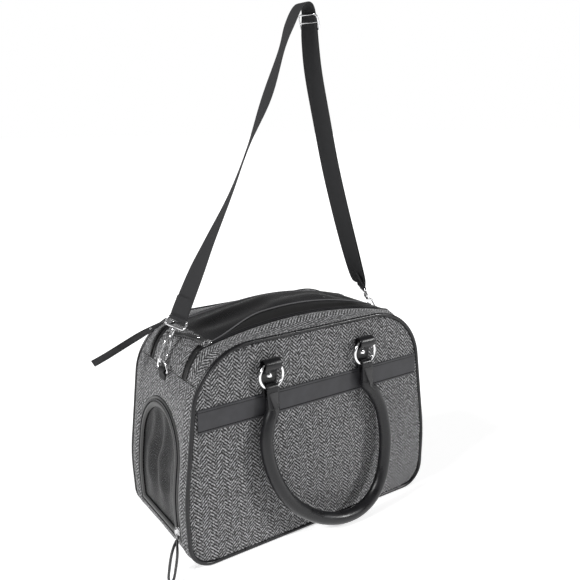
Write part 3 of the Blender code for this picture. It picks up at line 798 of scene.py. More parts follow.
# ---------------------------------------------------------------- shell cloth

def face_edges(depth):
    """The outline of a face panel and the half width it has at each height."""
    outline = RIM.inset(depth)
    half = outline[:len(outline) // 2 + 1]
    heights = [p.y for p in reversed(half)]
    widths = [p.x for p in reversed(half)]

    def width(z):
        i = min(max(bisect.bisect_right(heights, z), 1), len(heights) - 1)
        low, high = heights[i - 1], heights[i]
        part = 0.0 if high == low else min(1.0, max(0.0, (z - low) / (high - low)))
        return widths[i - 1] + (widths[i] - widths[i - 1]) * part

    return outline, heights, width


OUTLINE, HEIGHTS, HALF_WIDTH = face_edges(2 * PIPING_RADIUS + GAP)


def face_out(x, z):
    """How far the stuffed face stands out from its flat plane."""
    bulge = 0.0050 * max(0.0, 1 - (x / 0.2) ** 2) * math.exp(-((z - 0.100) / 0.075) ** 2)
    calm = smooth((0.195 - z) / 0.050)
    ripple = (0.0011 * wave(x, z, 0.055, 3.1) + 0.0005 * wave(x, z, 0.022, 8.4)) * calm
    pinch = -0.0020 * math.exp(-((x + 0.176) / 0.010) ** 2 - ((z - 0.020) / 0.007) ** 2)
    return bulge + ripple + pinch


def build_faces():
    """The stuffed front and rear faces, their piping and their leather bands."""
    lines, columns = 64, 72
    low, high = HEIGHTS[0], HEIGHTS[-1]
    for side, name in SIDES:
        def spot(i, j):
            z = lerp(low, high, 0.5 - 0.5 * math.cos(math.pi * i / lines))
            z = min(max(z, low + 1e-6), high - 1e-6)
            s = math.sin(math.pi * (j / columns - 0.5))
            x = HALF_WIDTH(z) * lerp(2 * j / columns - 1, s, 0.5)
            edge = min((Vector((x, z)) - p).length for p in OUTLINE[::3])
            dip = -0.0017 * math.exp(-(edge / 0.0035))
            out = FACE_PLANE + face_out(x, z) * smooth(edge / 0.02) + dip
            return Vector((x, side * out, z)), (x, z)
        solid(f"{name}_face", slab(grid(lines, columns, spot), 0.0030), TWEED, "bag", [f"{name}_panel"], 60)
        centre = side * (WIDTH / 2 - PIPING_RADIUS)
        loop = [Vector((p.x, centre, p.y)) for p in RIM.inset(PIPING_RADIUS)]
        fine = [a.lerp(b, k / 2) for a, b in zip(loop, loop[1:] + loop[:1]) for k in (0, 1)]
        solid(f"{name}_cord", rod(fine, PIPING_RADIUS, True, None, 14, (0, 1, 0)), LEATHER_LOOK, "bag",
              [f"{name}_piping"])
        build_band(side, name)


def build_band(side, name):
    """Leather band with a folded edge and a stitch line along each side."""
    full = BAND_HIGH - BAND_LOW
    levels = [0.0, 0.0008, 0.0030, BAND_STITCH, 0.0042]
    lifts = [0.0006, 0.0016, 0.0023, 0.0004, 0.0016]
    levels += [full * k / 8 for k in range(2, 7)] + [full - d for d in reversed(levels)]
    lifts += [0.0016] * 5 + lifts[::-1]

    def spot(i, j):
        x, z = lerp(-BAND_HALF, BAND_HALF, j / 96), BAND_LOW + levels[i]
        wobble = 0.00025 * wave(x, z, 0.030, 5.0)
        return Vector((x, side * (FACE_PLANE + face_out(x, z) + GAP + lifts[i] + wobble), z)), (x, z)

    band = slab(grid(len(levels) - 1, 96, spot), 0.0012)
    solid(f"{name}_leather_band", band, BAND_LOOK, "bag", [f"{name}_band"], 30)
    parts = []
    for z in (BAND_LOW + BAND_STITCH, BAND_HIGH - BAND_STITCH):
        line = []
        for j in range(97):
            x = lerp(-BAND_HALF + 0.003, BAND_HALF - 0.003, j / 96)
            line.append(Vector((x, side * (FACE_PLANE + face_out(x, z) + GAP + 0.0013), z)))
        parts.append(stitches(line, lambda i: Vector((0, side, 0))))
    solid(f"{name}_band_stitches", joined(parts), THREAD, "bag")


def shell_rows(u_range, y_range, count, roof=False, depth=SHELL_DEPTH, swell=0.0):
    """The grid of a piece of gusset; y_range may change along the shell."""
    def spot(i, j):
        u = lerp(*u_range, i / count[0])
        y = lerp(*(y_range(u) if callable(y_range) else y_range), j / count[1])
        bow = math.sin(math.pi * j / count[1])
        return shell_point(u, y, depth - swell * bow - 0.0009 * wave(u, y, 0.045, 1.7) * bow, roof), (y, u)
    return grid(*count, spot)


def gusset(name, node, finish, u_range, y_range, count, thickness, roof=False, body="bag",
           depth=SHELL_DEPTH, swell=0.0):
    cloth = shell_rows(u_range, y_range, count, roof, depth, swell)
    return solid(name, slab(cloth, thickness), finish, body, [node], 60)


def height_u(z):
    """The length along the left end at height z."""
    return -RIM.where(lambda p: p.y < z, SEAM_U * 0.9)


def build_gusset():
    """Everything between the two faces but the left end and the flap."""
    whole = (SEAM_GAP - SEAM_U, SEAM_U - SEAM_GAP)
    gusset("base_cloth", "base_panel", TWEED, (FLOOR_U, RIM.total - FLOOR_U), (-PANEL_EDGE, PANEL_EDGE),
           (20, 12), 0.003, depth=0)
    gusset("right_end_cloth", "right_end_panel", TWEED, (SEAM_U + SEAM_GAP, FLOOR_U - SEAM_GAP),
           (-PANEL_EDGE, PANEL_EDGE), (70, 30), 0.003, swell=0.0012)
    for side, name in SIDES:
        gusset(f"{name}_roof_cloth", f"{name}_roof_strip", TWEED, whole, (side * PANEL_EDGE, side * STRIP_Y),
               (110, 12), 0.002, True)
        gusset(f"{name}_roof_tape", f"{name}_zip_tape", TAPE, whole,
               (side * (STRIP_Y - 0.0009), side * (ZIP_Y + 0.0002)), (110, 3), 0.0015, True)
    left = -RIM.where(lambda p: p.x > -FLAP_LEFT + 0.001)
    right = RIM.where(lambda p: p.x > FLAP_RIGHT + 0.001)
    gusset("left_tongue", "left_shoulder", TWEED, (whole[0], left), (0.0105 - FLAP_EDGE, FLAP_EDGE - 0.0105),
           (24, 30), 0.0025, True)
    gusset("right_tongue", "right_shoulder", TWEED, (right, whole[1]), (-FLAP_EDGE, FLAP_EDGE), (24, 30),
           0.0025, True)
    tapes, teeth = [], []
    for side in (-1, 1):
        ends = (side * (FLAP_EDGE - 0.0100), side * FLAP_EDGE)
        tapes.append(slab(shell_rows((whole[0], left), ends, (24, 3), True, SHELL_DEPTH + 0.0008), 0.0015))
        teeth.append(teeth_along(whole[0] + 0.002, left - 0.001, side * (FLAP_EDGE - 0.0088), 0.0008))
    solid("left_tongue_tapes", joined(tapes), TAPE, "bag")
    solid("left_tongue_teeth", joined(teeth), COIL, "bag")


def teeth_along(start, end, y, lift, pitch=0.0021):
    """Zip teeth on the roof between two lengths along the rim."""
    parts = []
    for i in range(int((end - start) / pitch)):
        u = start + pitch * i
        here, there = shell_point(u, y, 0, True), shell_point(u + 0.001, y, 0, True)
        normal = RIM.at(u)[1]
        up = Vector((normal.x, 0, normal.y))
        along = (there - here).normalized()
        up = (up - along * up.dot(along)).normalized()
        parts.append(brick(here + up * (lift - 0.001), along, up, (0.0012, 0.0026, 0.0014)))
    return joined(parts)


def arch_point(point, depth):
    """A point of the left end from the door's drawing (y, z)."""
    return shell_point(DOOR_MAP(point.y), point.x, depth, False)


class HeightMap:
    """Length along the left end for each height, worked out once."""

    def __init__(self):
        self.low, self.step = 0.020, 0.001
        self.lengths = [height_u(self.low + self.step * i) for i in range(210)]

    def __call__(self, z):
        i = min(max(int((z - self.low) / self.step), 0), len(self.lengths) - 2)
        part = (z - (self.low + self.step * i)) / self.step
        return lerp(self.lengths[i], self.lengths[i + 1], part)


DOOR_MAP = HeightMap()


def arch_line(inset, count=120):
    """The door's outline in (y, z), in even steps from its bottom's centre."""
    raw = door_outline(inset)
    raw = [(raw[0] + raw[1]) / 2] + raw[1:] + [raw[0]]
    raw = [p for i, p in enumerate(raw) if i == 0 or (p - raw[i - 1]).length > 1e-6]
    lengths = [0.0]
    closed = raw + [raw[0]]
    for a, b in zip(closed, closed[1:]):
        lengths.append(lengths[-1] + (b - a).length)
    line = []
    for k in range(count):
        target = lengths[-1] * k / count
        i = max(1, bisect.bisect_left(lengths, target))
        part = (target - lengths[i - 1]) / (lengths[i] - lengths[i - 1])
        line.append(closed[i - 1].lerp(closed[i], part))
    return line


def arch_ring(outside, inside, columns, depth, crown, thickness):
    """A band between two insets of the arch, crowned across its width."""
    outer, inner = arch_line(outside), arch_line(inside)

    def spot(k, j):
        t = j / columns
        lift = crown * (1 - (2 * t - 1) ** 2)
        return arch_point(outer[k].lerp(inner[k], t), depth - lift), (j * 0.001, k * 0.004)

    return slab(grid(len(outer) - 1, columns, spot), thickness, True)


def build_end_panel():
    """The left end's cloth, with the arch of its door cut out."""
    u_low, u_high = -FLOOR_U + SEAM_GAP, -SEAM_U - SEAM_GAP
    arch = [Vector((p.x, DOOR_MAP(p.y))) for p in arch_line(0.0)]
    centre = Vector((0, DOOR_MAP(0.125)))
    outer = []
    for ray in [p - centre for p in arch]:
        reach = []
        if ray.x:
            reach.append((math.copysign(PANEL_EDGE, ray.x) - centre.x) / ray.x)
        if ray.y:
            reach.append(((u_high if ray.y > 0 else u_low) - centre.y) / ray.y)
        outer.append(centre + ray * min(reach))
    for y in (-PANEL_EDGE, PANEL_EDGE):
        for u in (u_low, u_high):
            corner = Vector((y, u))
            nearest = min(range(len(outer)), key=lambda k: (outer[k] - corner).length)
            outer[nearest] = corner

    def spot(k, j):
        p = arch[k].lerp(outer[k], j / 10)
        bow = math.sin(math.pi * j / 10)
        depth = SHELL_DEPTH - 0.0022 * bow - 0.0010 * wave(p.x, p.y, 0.040, 6.6) * bow
        return shell_point(p.y, p.x, depth, False), (p.x, p.y)

    panel = slab(grid(len(arch) - 1, 10, spot), 0.003, True)
    solid("left_end_cloth", panel, TWEED, "bag", ["left_end_panel"], 60)


def build_door():
    """The zip round the arch and the mesh door inside it."""
    tape = arch_ring(0.0004, DOOR_TAPE, 4, 0.0012, 0.0010, 0.0015)
    solid("door_zip_ring", tape, TAPE, "bag", ["door_zip_tape"])
    binding = arch_ring(DOOR_TAPE + GAP, DOOR_TAPE + DOOR_BINDING, 6, 0.0014, 0.0024, 0.0015)
    solid("door_edge", binding, TAPE, "door", ["door_binding"])
    beads = []
    line = [arch_point(p, -0.0003) for p in arch_line(DOOR_TAPE, 300)]
    for here, there in zip(line, line[1:] + line[:1]):
        beads.append(brick(here, (there - here).normalized(), -ALONG, (0.0012, 0.0024, 0.0014)))
    solid("door_teeth", joined(beads), COIL, "bag")

    inset = DOOR_TAPE + DOOR_BINDING - 0.0015
    half, low, high = DOOR_HALF - inset, DOOR_BOTTOM + inset, DOOR_TOP - inset
    rise = high - DOOR_SPRING

    def spot(i, j):
        z = lerp(low, high - 0.00005, 1 - (1 - i / 48) ** 1.4)
        above = max(0.0, (z - DOOR_SPRING) / rise)
        s = 2 * j / 28 - 1
        y = half * math.sqrt(max(1e-4, 1 - above * above)) * s
        inside = (1 - s * s) * math.sin(math.pi * i / 48)
        fold = 0.0050 * math.sin(y * 150 + 6 * wave(z, 0, 0.09, 2.2)) * inside
        fold += 0.0040 * wave(y, z, 0.030, 4.4) * inside
        return shell_point(DOOR_MAP(z), y, 0.0030 + 0.0030 * inside + fold, False), (y, z)

    window = solid("door_netting", slab(grid(48, 28, spot), 0.0005), NET, "door", ["door_mesh"], 60)


# ---------------------------------------------------------------- roof flap

def seam_y(x):
    """Where the flap's netting meets its zip tape, from the middle."""
    return lerp(ZIP_Y - 0.0022, MESH_Y, smooth((x + 0.147) / 0.095))


def flap_drape(u, y, edge):
    """Soft folds in the netting, none at its seams."""
    x = RIM.at(u)[0].x
    s = y / edge
    calm = (1 - s * s) * smooth((x + 0.145) / 0.03) * smooth((0.152 - x) / 0.03)
    fold = 0.0024 * math.sin(y * 120 + 9 * wave(x, 0, 0.16, 7.7))
    return (fold + 0.0022 * wave(x, y, 0.045, 9.1)) * calm


def build_flap():
    """The roof's mesh flap, its tapes, seams and teeth, and the teeth of the roof's zips."""
    u_left = -RIM.where(lambda p: p.x > -FLAP_LEFT)
    u_right = RIM.where(lambda p: p.x > FLAP_RIGHT)
    u_band = u_left + FLAP_BAND

    def spot(i, j):
        u = lerp(u_band + GAP, u_right, i / 110)
        edge = seam_y(RIM.at(u)[0].x)
        y = edge * (2 * j / 36 - 1)
        return shell_point(u, y, SHELL_DEPTH, True) + UP * flap_drape(u, y, edge), (y, u)

    net = solid("flap_netting", slab(grid(110, 36, spot), 0.0006), NET, "flap", ["flap_mesh"], 60)
    for side, name in SIDES:
        def across(u):
            return side * (seam_y(RIM.at(u)[0].x) + 0.0004), side * FLAP_EDGE
        gusset(f"flap_tape_{name}", f"flap_{name}_tape", TAPE, (u_band + GAP, u_right), across, (110, 6),
               0.0016, True, "flap", swell=0.0010)
        line = []
        for i in range(111):
            u = lerp(u_band + 0.001, u_right - 0.001, i / 110)
            line.append(shell_point(u, side * seam_y(RIM.at(u)[0].x), 0.0004, True))
        solid(f"flap_seam_{name}", rod(line, 0.0011, False, None, 8), EDGE, "flap")
        teeth = teeth_along(u_band + 0.002, u_right - 0.002, side * (FLAP_EDGE - 0.0012), 0.0004)
        solid(f"flap_teeth_{name}", teeth, COIL, "flap")
        teeth = teeth_along(-SEAM_U + 0.004, SEAM_U - 0.004, side * (ZIP_Y + 0.0018), 0.0002)
        solid(f"roof_teeth_{name}", teeth, COIL, "bag")
    gusset("flap_end_cloth", "flap_end_band", TWEED, (u_left, u_band), (-FLAP_EDGE, FLAP_EDGE), (6, 30),
           0.002, True, "flap")
    for thing in [thing for thing in SCENE.objects if thing.get("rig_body") == "flap"]:
        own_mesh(thing)


# ---------------------------------------------------------------- inside

def build_inside():
    """The quilted mat, crowned and drawn down at its tufts, and the board's finish."""
    columns, lines = 56, 28
    middle, half_thick = (MAT_LOW + MAT_HIGH) / 2, (MAT_HIGH - MAT_LOW) / 2
    top, bottom, uvs = [], [], []
    for i in range(columns + 1):
        for j in range(lines + 1):
            s, t = 2 * i / columns - 1, 2 * j / lines - 1
            x = MAT_HALF_X * s * (1 - 0.02 * t * t)
            y = MAT_HALF_Y * t * (1 - 0.03 * s * s)
            quilt = abs(math.sin(2.5 * math.pi * s) * math.sin(1.5 * math.pi * t)) ** 0.35
            thick = half_thick * ((1 - s ** 8) * (1 - t ** 8)) ** 0.5
            # The two layers part a little even at the rim, so that the mat stays a closed solid
            rim = 0.0006 if i in (0, columns) or j in (0, lines) else 0.0
            top.append(Vector((x, y, middle + thick * (0.62 + 0.38 * quilt) + rim)))
            bottom.append(Vector((x, y, middle - thick * 0.98 - rim)))
            uvs.append((x, y))
    part = (top + bottom, thick_faces(columns + 1, lines + 1), uvs + uvs)
    solid("mat_pad", part, FLEECE, "bag", ["base_mat"], 80)
    board = frame["nodes"]["base_board"]
    board.data.materials.clear()
    board.data.materials.append(BOARD[1])


# ---------------------------------------------------------------- handles

def build_tab(side, name, hand, x):
    """A leather strip rolled over the ring's top and held by a rivet."""
    face = FACE_PLANE + GAP
    radius = (TAB_LOOP + TAB_HOLE) / 2
    thick = 0.0015
    drawing = [(0.0008, BAND_HIGH + 0.0006), (0.0008, 0.2400), (0.0008, 0.2500), (0.0006, 0.2600)]
    for i in range(13):
        angle = math.radians(200 - 250 * i / 12)
        drawing.append((TAB_LOOP + radius * math.cos(angle), TAB_LOOP_Z + radius * math.sin(angle)))
    drawing += [(0.0062, 0.2595), (0.0034, 0.2560), (0.0026, 0.2500), (0.0026, 0.2420), (0.0026, 0.2330)]
    path = catmull([Vector((x, side * (face + out), z)) for out, z in drawing], 3)
    taper = [1 + 0.05 * smooth((p.z - 0.250) / 0.02) - 0.10 * smooth((0.250 - p.z) / 0.02) for p in path]
    solid(f"{name}_{hand}_tab_strip", ribbon(path, ALONG, TAB_WIDTH, thick, taper), LEATHER_LOOK, "bag",
          [f"{name}_{hand}_ring_tab"])
    front = face + 0.0026 + thick / 2
    rivet = [(0, 0.0026), (0.0020, 0.0024), (0.0034, 0.0017), (0.0042, 0.0006), (0.0044, -0.0004),
             (0, -0.0004)]
    head = turned(rivet, Vector((x, side * front, RIVET_Z)), (0, side, 0))
    solid(f"{name}_{hand}_rivet_head", head, CHROME, "bag", [f"{name}_{hand}_rivet"])
    lines = []
    for edge in (-1, 1):
        w = edge * (TAB_WIDTH / 2 * 0.90 - 0.0022)
        line = [Vector((x + w, side * (front - 0.0001), z)) for z in (0.2345, 0.2500)]
        lines.append(stitches(line, lambda i: Vector((0, side, 0)), 0.0028, (0.0019, 0.0006, 0.0005)))
    solid(f"{name}_{hand}_tab_stitches", joined(lines), THREAD, "bag")


def rolled(z):
    """How far the handle has gone from flat strap to roll at height z."""
    return smooth((ROLL_TOP - z) / ROLL_RISE)


def handle_path(side):
    """Centre line of a handle with its folded ends, and the number of points in each of those."""
    radius = (HANDLE_LOOP + HANDLE_HOLE) / 2
    fold = [(-radius + 0.0004, 0.2225), (-radius, 0.2300)]
    fold += [(radius * math.cos(a), HANDLE_PIVOT_Z + radius * math.sin(a))
             for a in [math.pi * (1 - i / 8) for i in range(9)]]
    fold += [(radius, 0.2310), (radius - 0.0004, 0.2240)]
    route = [Vector((x, z)) for x, z in HANDLE_ROUTE]
    path = [Vector((route[0].x, side * (LOOP_Y + out), z)) for out, z in fold]
    for p in catmull(route, 7):
        reach = LOOP_Y + HANDLE_TOP_OUT + HANDLE_LEAN * (HANDLE_TOP_Z - p.y)
        path.append(Vector((p.x, side * reach, p.y)))
    path += [Vector((route[-1].x, side * (LOOP_Y + out), z)) for out, z in reversed(fold)]
    return path, len(fold)


def build_handle(side, name):
    """A rolled handle, the folds at its ends, and its two rings with their tabs."""
    path, fold = handle_path(side)
    out = Vector((0, side, 0))
    across, profiles = [], []
    inner_angle = 0.0 if side > 0 else math.pi
    for i, (place, way) in enumerate(zip(path, tangents(path))):
        if i < fold:
            level = Vector((side, 0, 0))
        elif i >= len(path) - fold:
            level = Vector((-side, 0, 0))
        else:
            level = way.cross(out)
        across.append((level - way * level.dot(way)).normalized())
        tail = i < 3 or i >= len(path) - 3
        share = 0.0 if tail else rolled(place.z)
        lumps = 1 + 0.022 * wave(i * 0.004, side, 0.030, 2.0) * share
        half_wide = lerp(HANDLE_LOOP_WIDTH / 2, HANDLE_RADIUS, share)
        half_thick = lerp(FOLD_HALF, HANDLE_RADIUS, share)
        profiles.append(oval(half_wide * lumps, half_thick * lumps, lerp(5.0, 2.0, share), 24,
                             0.10 * share, inner_angle))
    solid(f"{name}_handle_roll", sweep(path, across, profiles), LEATHER_LOOK, f"{name}_grip",
          [f"{name}_handle", f"{name}_left_handle_loop", f"{name}_right_handle_loop"], 50)
    patches = []
    for line in (path, path[::-1]):
        near = [p for p in line[fold - 2:fold + 16] if p.z > 0.196]
        knots = [p + out * (lerp(FOLD_HALF, HANDLE_RADIUS, rolled(p.z)) + 0.0003) for p in near]
        widths = [max(0.08, (p.z - 0.199) / (0.2310 - 0.199)) for p in near]
        fine = catmull(knots, 2)
        spread = [lerp(widths[k // 2], widths[min(k // 2 + 1, len(widths) - 1)], (k % 2) / 2)
                  for k in range(len(fine))]
        patches.append(ribbon(fine, ALONG, 0.0140, 0.0012, spread))
    solid(f"{name}_handle_folds", joined(patches), STRIP_LOOK, f"{name}_grip", [], 50)
    for end, hand in HANDS:
        build_tab(side, name, hand, end * RING_X)
        ring = []
        for i in range(64):
            angle = math.tau * i / 64
            ring.append(Vector((end * RING_X + RING_RADIUS * math.sin(angle), side * LOOP_Y,
                                TAB_LOOP_Z - RING_DROP + RING_RADIUS * math.cos(angle))))
        solid(f"{name}_{hand}_ring_wire", rod(ring, RING_WIRE, True, None, 14, (0, 1, 0)), CHROME,
              f"{name}_rings", [f"{name}_{hand}_ring"])


# ---------------------------------------------------------------- shoulder strap

def build_strap_end(side, name):
    """A webbing tab with its D ring, and the snap hook with its gate and eye."""
    out, up = shell_frame(STRAP_TAB_Z, side)[1:]
    anchor = strap_anchor(side)
    mid = (STRAP_LOOP + STRAP_HOLE) / 2
    drawing = [(-STRAP_LOOP - 0.0010, -0.0110), (-STRAP_LOOP + 0.0009, -0.0070)]
    drawing += [tuple(p) for p in arc(Vector((0, 0)), mid, 200, -40, 8)]
    drawing += [(-0.0012, -0.0055), (-0.0024, -0.0095), (-0.0040, -0.0120)]
    path = catmull([anchor + out * a + up * b for a, b in drawing], 4)
    solid(f"{name}_tab_web", ribbon(path, (0, 1, 0), STRAP_TAB_WIDTH, 0.0015), WEB, "bag",
          [f"{name}_strap_tab"])
    dee = [Vector((-DEE_RADIUS, 0.003)), Vector((-DEE_BAR - 0.002, 0.0006)), Vector((-DEE_BAR, 0)),
           Vector((DEE_BAR, 0)), Vector((DEE_BAR + 0.002, 0.0006)), Vector((DEE_RADIUS, 0.003))]
    dee += arc(Vector((0, 0)), DEE_RADIUS, 14, 166, 34)
    ring = [anchor + Vector((0, p.x, p.y)) for p in dee]
    solid(f"{name}_dee_wire", rod(ring, DEE_WIRE, True, None, 12, ALONG), CHROME, f"{name}_dee",
          [f"{name}_dee_ring"])

    foot, along = hook_axis(side)
    away = Vector((side * abs(along.z), 0, abs(along.x)))
    bow = foot + along * HOOK_CLEAR
    knots = [bow + along * 0.0235 + away * 0.0050, bow + along * 0.0180 + away * 0.0054]
    knots += [bow + away * p.x + along * p.y for p in arc(Vector((0, 0)), HOOK_BOW, 0, -180, 10)]
    knots.append(bow - away * HOOK_BOW + along * 0.007)
    neck = [bow + along * up + away * out for up, out in ((0.0310, 0), (0.0285, 0.0012), (0.0262, 0.0034))]
    line = neck + catmull(knots, 3)
    hook = rod(line, HOOK_WIRE, False, [1.0] * (len(line) - 1) + [0.8], 14)
    shank = [bow + along * t for t in (0.0425, 0.0420, 0.0400, 0.0345, 0.0325, 0.0310, 0.0302)]
    barrel = rod(shank, 0.0034, False, [0.75, 0.95, 1.0, 1.0, 0.92, 1.0, 0.80], 18)
    collar = [bow + along * t for t in (0.0372, 0.0374, 0.0384, 0.0386)]
    rim = rod(collar, 0.0040, False, [0.9, 1.0, 1.0, 0.9], 18)
    solid(f"{name}_hook_body", joined([hook, barrel, rim]), CHROME, "strap", [f"{name}_hook"])
    gate = catmull([bow + along * up + away * out for up, out in GATE_LINE], 4)
    lever = [bow + along * 0.0150 - away * 0.0046, bow + along * 0.0150 - away * 0.0066]
    latch = joined([rod(gate, GATE_WIRE, False, None, 10), rod(lever, 0.0008, False, None, 10)])
    solid(f"{name}_hook_latch", latch, CHROME, f"{name}_gate", [f"{name}_hook_gate"])
    turn = math.radians(STRAP_TURN[0] if side < 0 else STRAP_TURN[-1])
    level = Vector((math.cos(turn), math.sin(turn), 0))
    wide = (level - along * level.dot(along)).normalized()
    centre = bow + along * EYE_UP
    eye = [centre + wide * p.x + along * p.y for p in rounded_ring(EYE_WIDTH, EYE_DEPTH, 0.0045, 10)]
    solid(f"{name}_eye_wire", rod(eye, EYE_WIRE, True, None, 12, wide.cross(along)), CHROME, "strap",
          [f"{name}_hook_eye"])


def build_strap():
    """The webbing: one layer up to the slide, two from there down to the right hook."""
    rows = strap_line()
    path = [row[0] for row in rows]
    across = [row[2] for row in rows]
    pieces = [ribbon(path, across, WEB_WIDTH, WEB_THICK)]
    top = max(range(len(rows)), key=lambda i: rows[i][0].z)
    slide = next(i for i in range(top, len(rows)) if rows[i][0].z < rows[top][0].z - SLIDE_FROM_TOP)
    second, wide = [], []
    last = len(rows) - 1
    for i in range(slide - 2, last + 1):
        place, along, side = rows[i]
        part = (i - slide + 2) / (last - slide + 2)
        apart = 0.0022 + 0.0045 * math.sin(math.pi * part) ** 2
        normal = side.cross(along).normalized()
        if normal.x < 0:
            normal.negate()
        turn = math.radians(8 * math.sin(math.pi * part))
        second.append(place + normal * apart)
        wide.append((side * math.cos(turn) + normal * math.sin(turn)).normalized())
    pieces.append(ribbon(second, wide, WEB_WIDTH, WEB_THICK))
    for end, way in ((0, 1), (last, -1)):
        place, along, side = rows[end]
        along = along * way
        normal = side.cross(along).normalized()
        loop = [place - along * (0.0022 + p.y) + normal * p.x
                for p in arc(Vector((0, 0)), 0.0026, -60, 240, 15)]
        pieces.append(ribbon(loop, side, WEB_WIDTH * 0.96, 0.0012))
        tail = [place + along * t + normal * (way * (0.0017 + 0.0002 * k))
                for k, t in enumerate((0.004, 0.012, 0.020, 0.028))]
        pieces.append(ribbon(tail, side, WEB_WIDTH * 0.98, 0.0014))
    solid("strap_webbing", joined(pieces), WEB, "strap", ["shoulder_strap"], 50)

    place, along, side = rows[slide]
    normal = side.cross(along)
    slope = (along * 0.0105 + normal * 0.0042).normalized()
    ring = [place + side * p.x + slope * p.y for p in rounded_ring(SLIDE_WIDTH, SLIDE_LENGTH, 0.006, 10)]
    bar = [place + side * (t * 0.0300 / 2) for t in (-1, -0.5, 0, 0.5, 1)]
    slide_wire = joined([rod(ring, SLIDE_WIRE, True, None, 12, side.cross(slope)), rod(bar, 0.0011)])
    solid("slide_frame", slide_wire, CHROME, "strap_adjuster", ["strap_slide"])


# ---------------------------------------------------------------- sliders and pulls

def pull_strip(name, node, body, start, heading, length, sag=0.0, twist=0.0):
    """A stitched double leather strip, folded round its slider's loop."""
    heading = heading.normalized()
    normal = (UP - heading * heading.z).normalized()
    across = normal.cross(heading)
    path, taper = [], []
    for i in range(25):
        t = i / 24
        bend = 0.0012 * math.sin(math.pi * t * 1.5) - sag * t * t
        path.append(start + heading * (length * t) + normal * bend)
        taper.append(lerp(0.80, 1.0, smooth(t / 0.12)))
    turns = [twist * smooth(i / 10) for i in range(25)]
    wide = [across * math.cos(a) - normal * math.sin(a) for a in turns]
    face = [normal * math.cos(a) + across * math.sin(a) for a in turns]
    strip = ribbon(path, wide, PULL_WIDTH, PULL_THICK, taper)
    lines = []
    for edge in (-1, 1):
        line = [p + w * (edge * (PULL_WIDTH / 2 - 0.0016)) + f * (PULL_THICK / 2)
                for p, w, f in zip(path[1:-1], wide[1:-1], face[1:-1])]
        lines.append(stitches(line, lambda i: face[i + 1], 0.0030, (0.0020, 0.0005, 0.0004)))
    solid(f"{name}_strip", strip, STRIP_LOOK, body, [node], 50)
    solid(f"{name}_stitches", joined(lines), THREAD, body)
    stud = [(0, 0.0013), (0.0013, 0.0010), (0.0019, 0.0002), (0.0019, -0.0004), (0, -0.0004)]
    place = path[4] + normal * (PULL_THICK / 2)
    solid(f"{name}_stud", turned(stud, place, normal, 20), CHROME, body)


def slider_parts(place, along, out, across):
    """A zip slider: a waisted body with a bridge over it."""
    plates = []
    for lift in (-0.0013, 0.0013):
        path = [place + along * t + out * lift for t in (-0.0062, -0.0050, -0.0015, 0.0020, 0.0050, 0.0062)]
        plates.append(ribbon(path, across, 0.0062, 0.0012, [0.7, 0.9, 1.0, 0.85, 0.7, 0.5]))
    post = rod([place + along * 0.003 - out * 0.0012, place + along * 0.003 + out * 0.0012], 0.0014)
    arch = ((-0.0045, 0.0012), (-0.0036, 0.0034), (0, 0.0040), (0.0036, 0.0034), (0.0045, 0.0012))
    bridge = catmull([place + along * t + out * h for t, h in arch], 4)
    return joined(plates + [post, ribbon(bridge, across, 0.0024, 0.0009)])


def build_sliders():
    """The three zip sliders and the pulls that hang from them."""
    for side, name in SIDES:
        place, along, out = roof_frame(SLIDER_X, side)
        body = place + out * SLIDER_LIFT
        parts = slider_parts(body, along, out, Vector((0, 1, 0)))
        solid(f"{name}_slider_body", parts, CHROME, f"{name}_zip_pull", [f"{name}_slider"])
        if side < 0:
            start = body + out * 0.0046 - along * 0.0020
            heading = Vector(FRONT_PULL_HEADING)
            pull_strip("front_pull", "front_pull", "front_tassel", start, heading, FRONT_PULL_LENGTH)
        else:
            start = body - along * 0.0105 + out * 0.0033
            heading = Vector(REAR_PULL_HEADING)
            pull_strip("rear_pull", "rear_pull", "rear_tassel", start, heading, 0.94 * REAR_PULL_LENGTH,
                       -0.004, 0.9)
        link = [start - heading.normalized() * 0.0030, start + heading.normalized() * 0.0060]
        solid(f"{name}_pull_link", rod(link, 0.0013), CHROME, f"{name}_tassel")
    z = DOOR_SLIDER_Z
    x = -(FLOOR_HALF + (BELLY_HALF - FLOOR_HALF) * z / BELLY_Z)
    place = Vector((x - 0.0012, -(DOOR_HALF - DOOR_TAPE / 2 + 0.001), z))
    parts = slider_parts(place, Vector((0, 0, 1)), Vector((-1, 0, 0)), Vector((0, 1, 0)))
    solid("door_slider_body", parts, CHROME, "door_zip_pull", ["door_slider"])
    start = place + Vector((-0.0035, -0.0030, -0.0060))
    reach = DOOR_PULL_LENGTH
    drop = -(start.z - DOOR_PULL_REST_Z) / reach
    level = math.sqrt(1 - drop * drop)
    heading = Vector((-0.62 * level, -0.785 * level, drop))
    build_door_pull(start, heading, reach)


def build_door_pull(start, heading, reach):
    """A narrow strip doubled into a long open loop."""
    normal = (UP - heading * heading.z).normalized()
    across = normal.cross(heading)
    half = 0.0040
    knots = []
    for t, w in ((0.004, 0.10), (0.012, 0.55), (0.024, 1.0), (0.040, 1.05), (0.052, 0.85), (reach, 0.0),
                 (0.052, -0.85), (0.040, -1.05), (0.024, -1.0), (0.012, -0.55)):
        knots.append(start + heading * t + across * (half * w))
    closed = knots[-1:] + knots + knots[:2]
    line = catmull(closed, 6)[6:-12]
    wide = [(normal - way * normal.dot(way)).normalized() for way in tangents(line, True)]
    loop = sweep(line, wide, [oval(0.0026, 0.0017, 3, 14)] * len(line), True)
    solid("door_pull_loop", loop, STRIP_LOOK, "door_tassel", ["door_pull"], 50)
    link = [start - heading * 0.0030, start + heading * 0.0052]
    solid("door_pull_link", rod(link, 0.0012), CHROME, "door_tassel")


# ---------------------------------------------------------------- studio

ROOM_LIGHT = 0.20
FLOOR_GLOW = 0.55
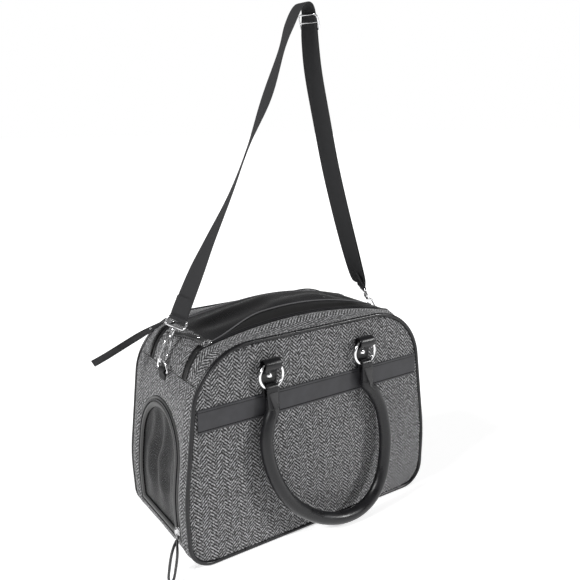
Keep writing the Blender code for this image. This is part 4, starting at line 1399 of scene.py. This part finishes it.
# Each sun lamp's name, the place it shines from, its spread in radians and its strength
LAMPS = (
    ("key", (0.95, -0.90, 0.80), 0.14, 1.9),
    ("side", (-1.20, -0.06, 1.00), 0.30, 2.5),
)


def build_studio():
    """Pale floor and plain soft light."""
    floor = bpy.data.meshes.new("floor")
    bm = bmesh.new()
    bmesh.ops.create_circle(bm, cap_ends=True, segments=96, radius=30)
    bm.to_mesh(floor)
    bm.free()
    ground = bpy.data.objects.new("floor", floor)
    SCENE.collection.objects.link(ground)
    ground.location.z = -0.0004
    look = Look("floor", (0.93, 0.93, 0.93), 0.9)
    look.set("Emission Color", (1, 1, 1, 1))
    look.set("Emission Strength", FLOOR_GLOW)
    floor.materials.append(look.made)
    world = bpy.data.worlds.new("studio")
    SCENE.world = world
    world.use_nodes = True
    tree = world.node_tree
    seen = tree.nodes.new("ShaderNodeLightPath")
    level = tree.nodes.new("ShaderNodeMapRange")
    level.inputs["To Min"].default_value = ROOM_LIGHT
    level.inputs["To Max"].default_value = 1.0
    tree.links.new(seen.outputs["Is Camera Ray"], level.inputs["Value"])
    tree.nodes["Background"].inputs[0].default_value = (1, 1, 1, 1)
    tree.links.new(level.outputs[0], tree.nodes["Background"].inputs[1])
    SCENE.view_settings.view_transform = "Standard"
    for name, place, spread, power in LAMPS:
        data = bpy.data.lights.new(name, "SUN")
        data.energy = power
        data.angle = spread
        lamp = bpy.data.objects.new(name, data)
        lamp.location = place
        lamp.rotation_euler = (Vector(place) - CORE).to_track_quat("Z", "Y").to_euler()
        SCENE.collection.objects.link(lamp)


def build_camera():
    """The photo's camera: its heading, height and roll, and the point that it looks at."""
    turn, rise, roll = math.radians(-33.32), math.radians(13.97), math.radians(-1.0)
    target, distance = Vector((0.0205, 0, 0.3346)), 1.0236
    back = Vector((math.sin(turn) * math.cos(rise), -math.cos(turn) * math.cos(rise), math.sin(rise)))
    right = UP.cross(back).normalized()
    up = back.cross(right)
    rolled_right = right * math.cos(roll) + up * math.sin(roll)
    rolled_up = up * math.cos(roll) - right * math.sin(roll)
    camera = bpy.data.objects.new("camera", bpy.data.cameras.new("camera"))
    SCENE.collection.objects.link(camera)
    camera.data.sensor_width = 36
    camera.data.lens = 42.331
    frame_axes = Matrix((rolled_right, rolled_up, back)).transposed().to_4x4()
    camera.matrix_world = Matrix.Translation(target + back * distance) @ frame_axes
    SCENE.camera = camera


def main():
    build_camera()
    build_studio()
    build_faces()
    build_gusset()
    build_end_panel()
    build_door()
    build_flap()
    build_inside()
    for side, name in SIDES:
        build_handle(side, name)
    for side, name in HANDS:
        build_strap_end(side, name)
    build_strap()
    build_sliders()


main()
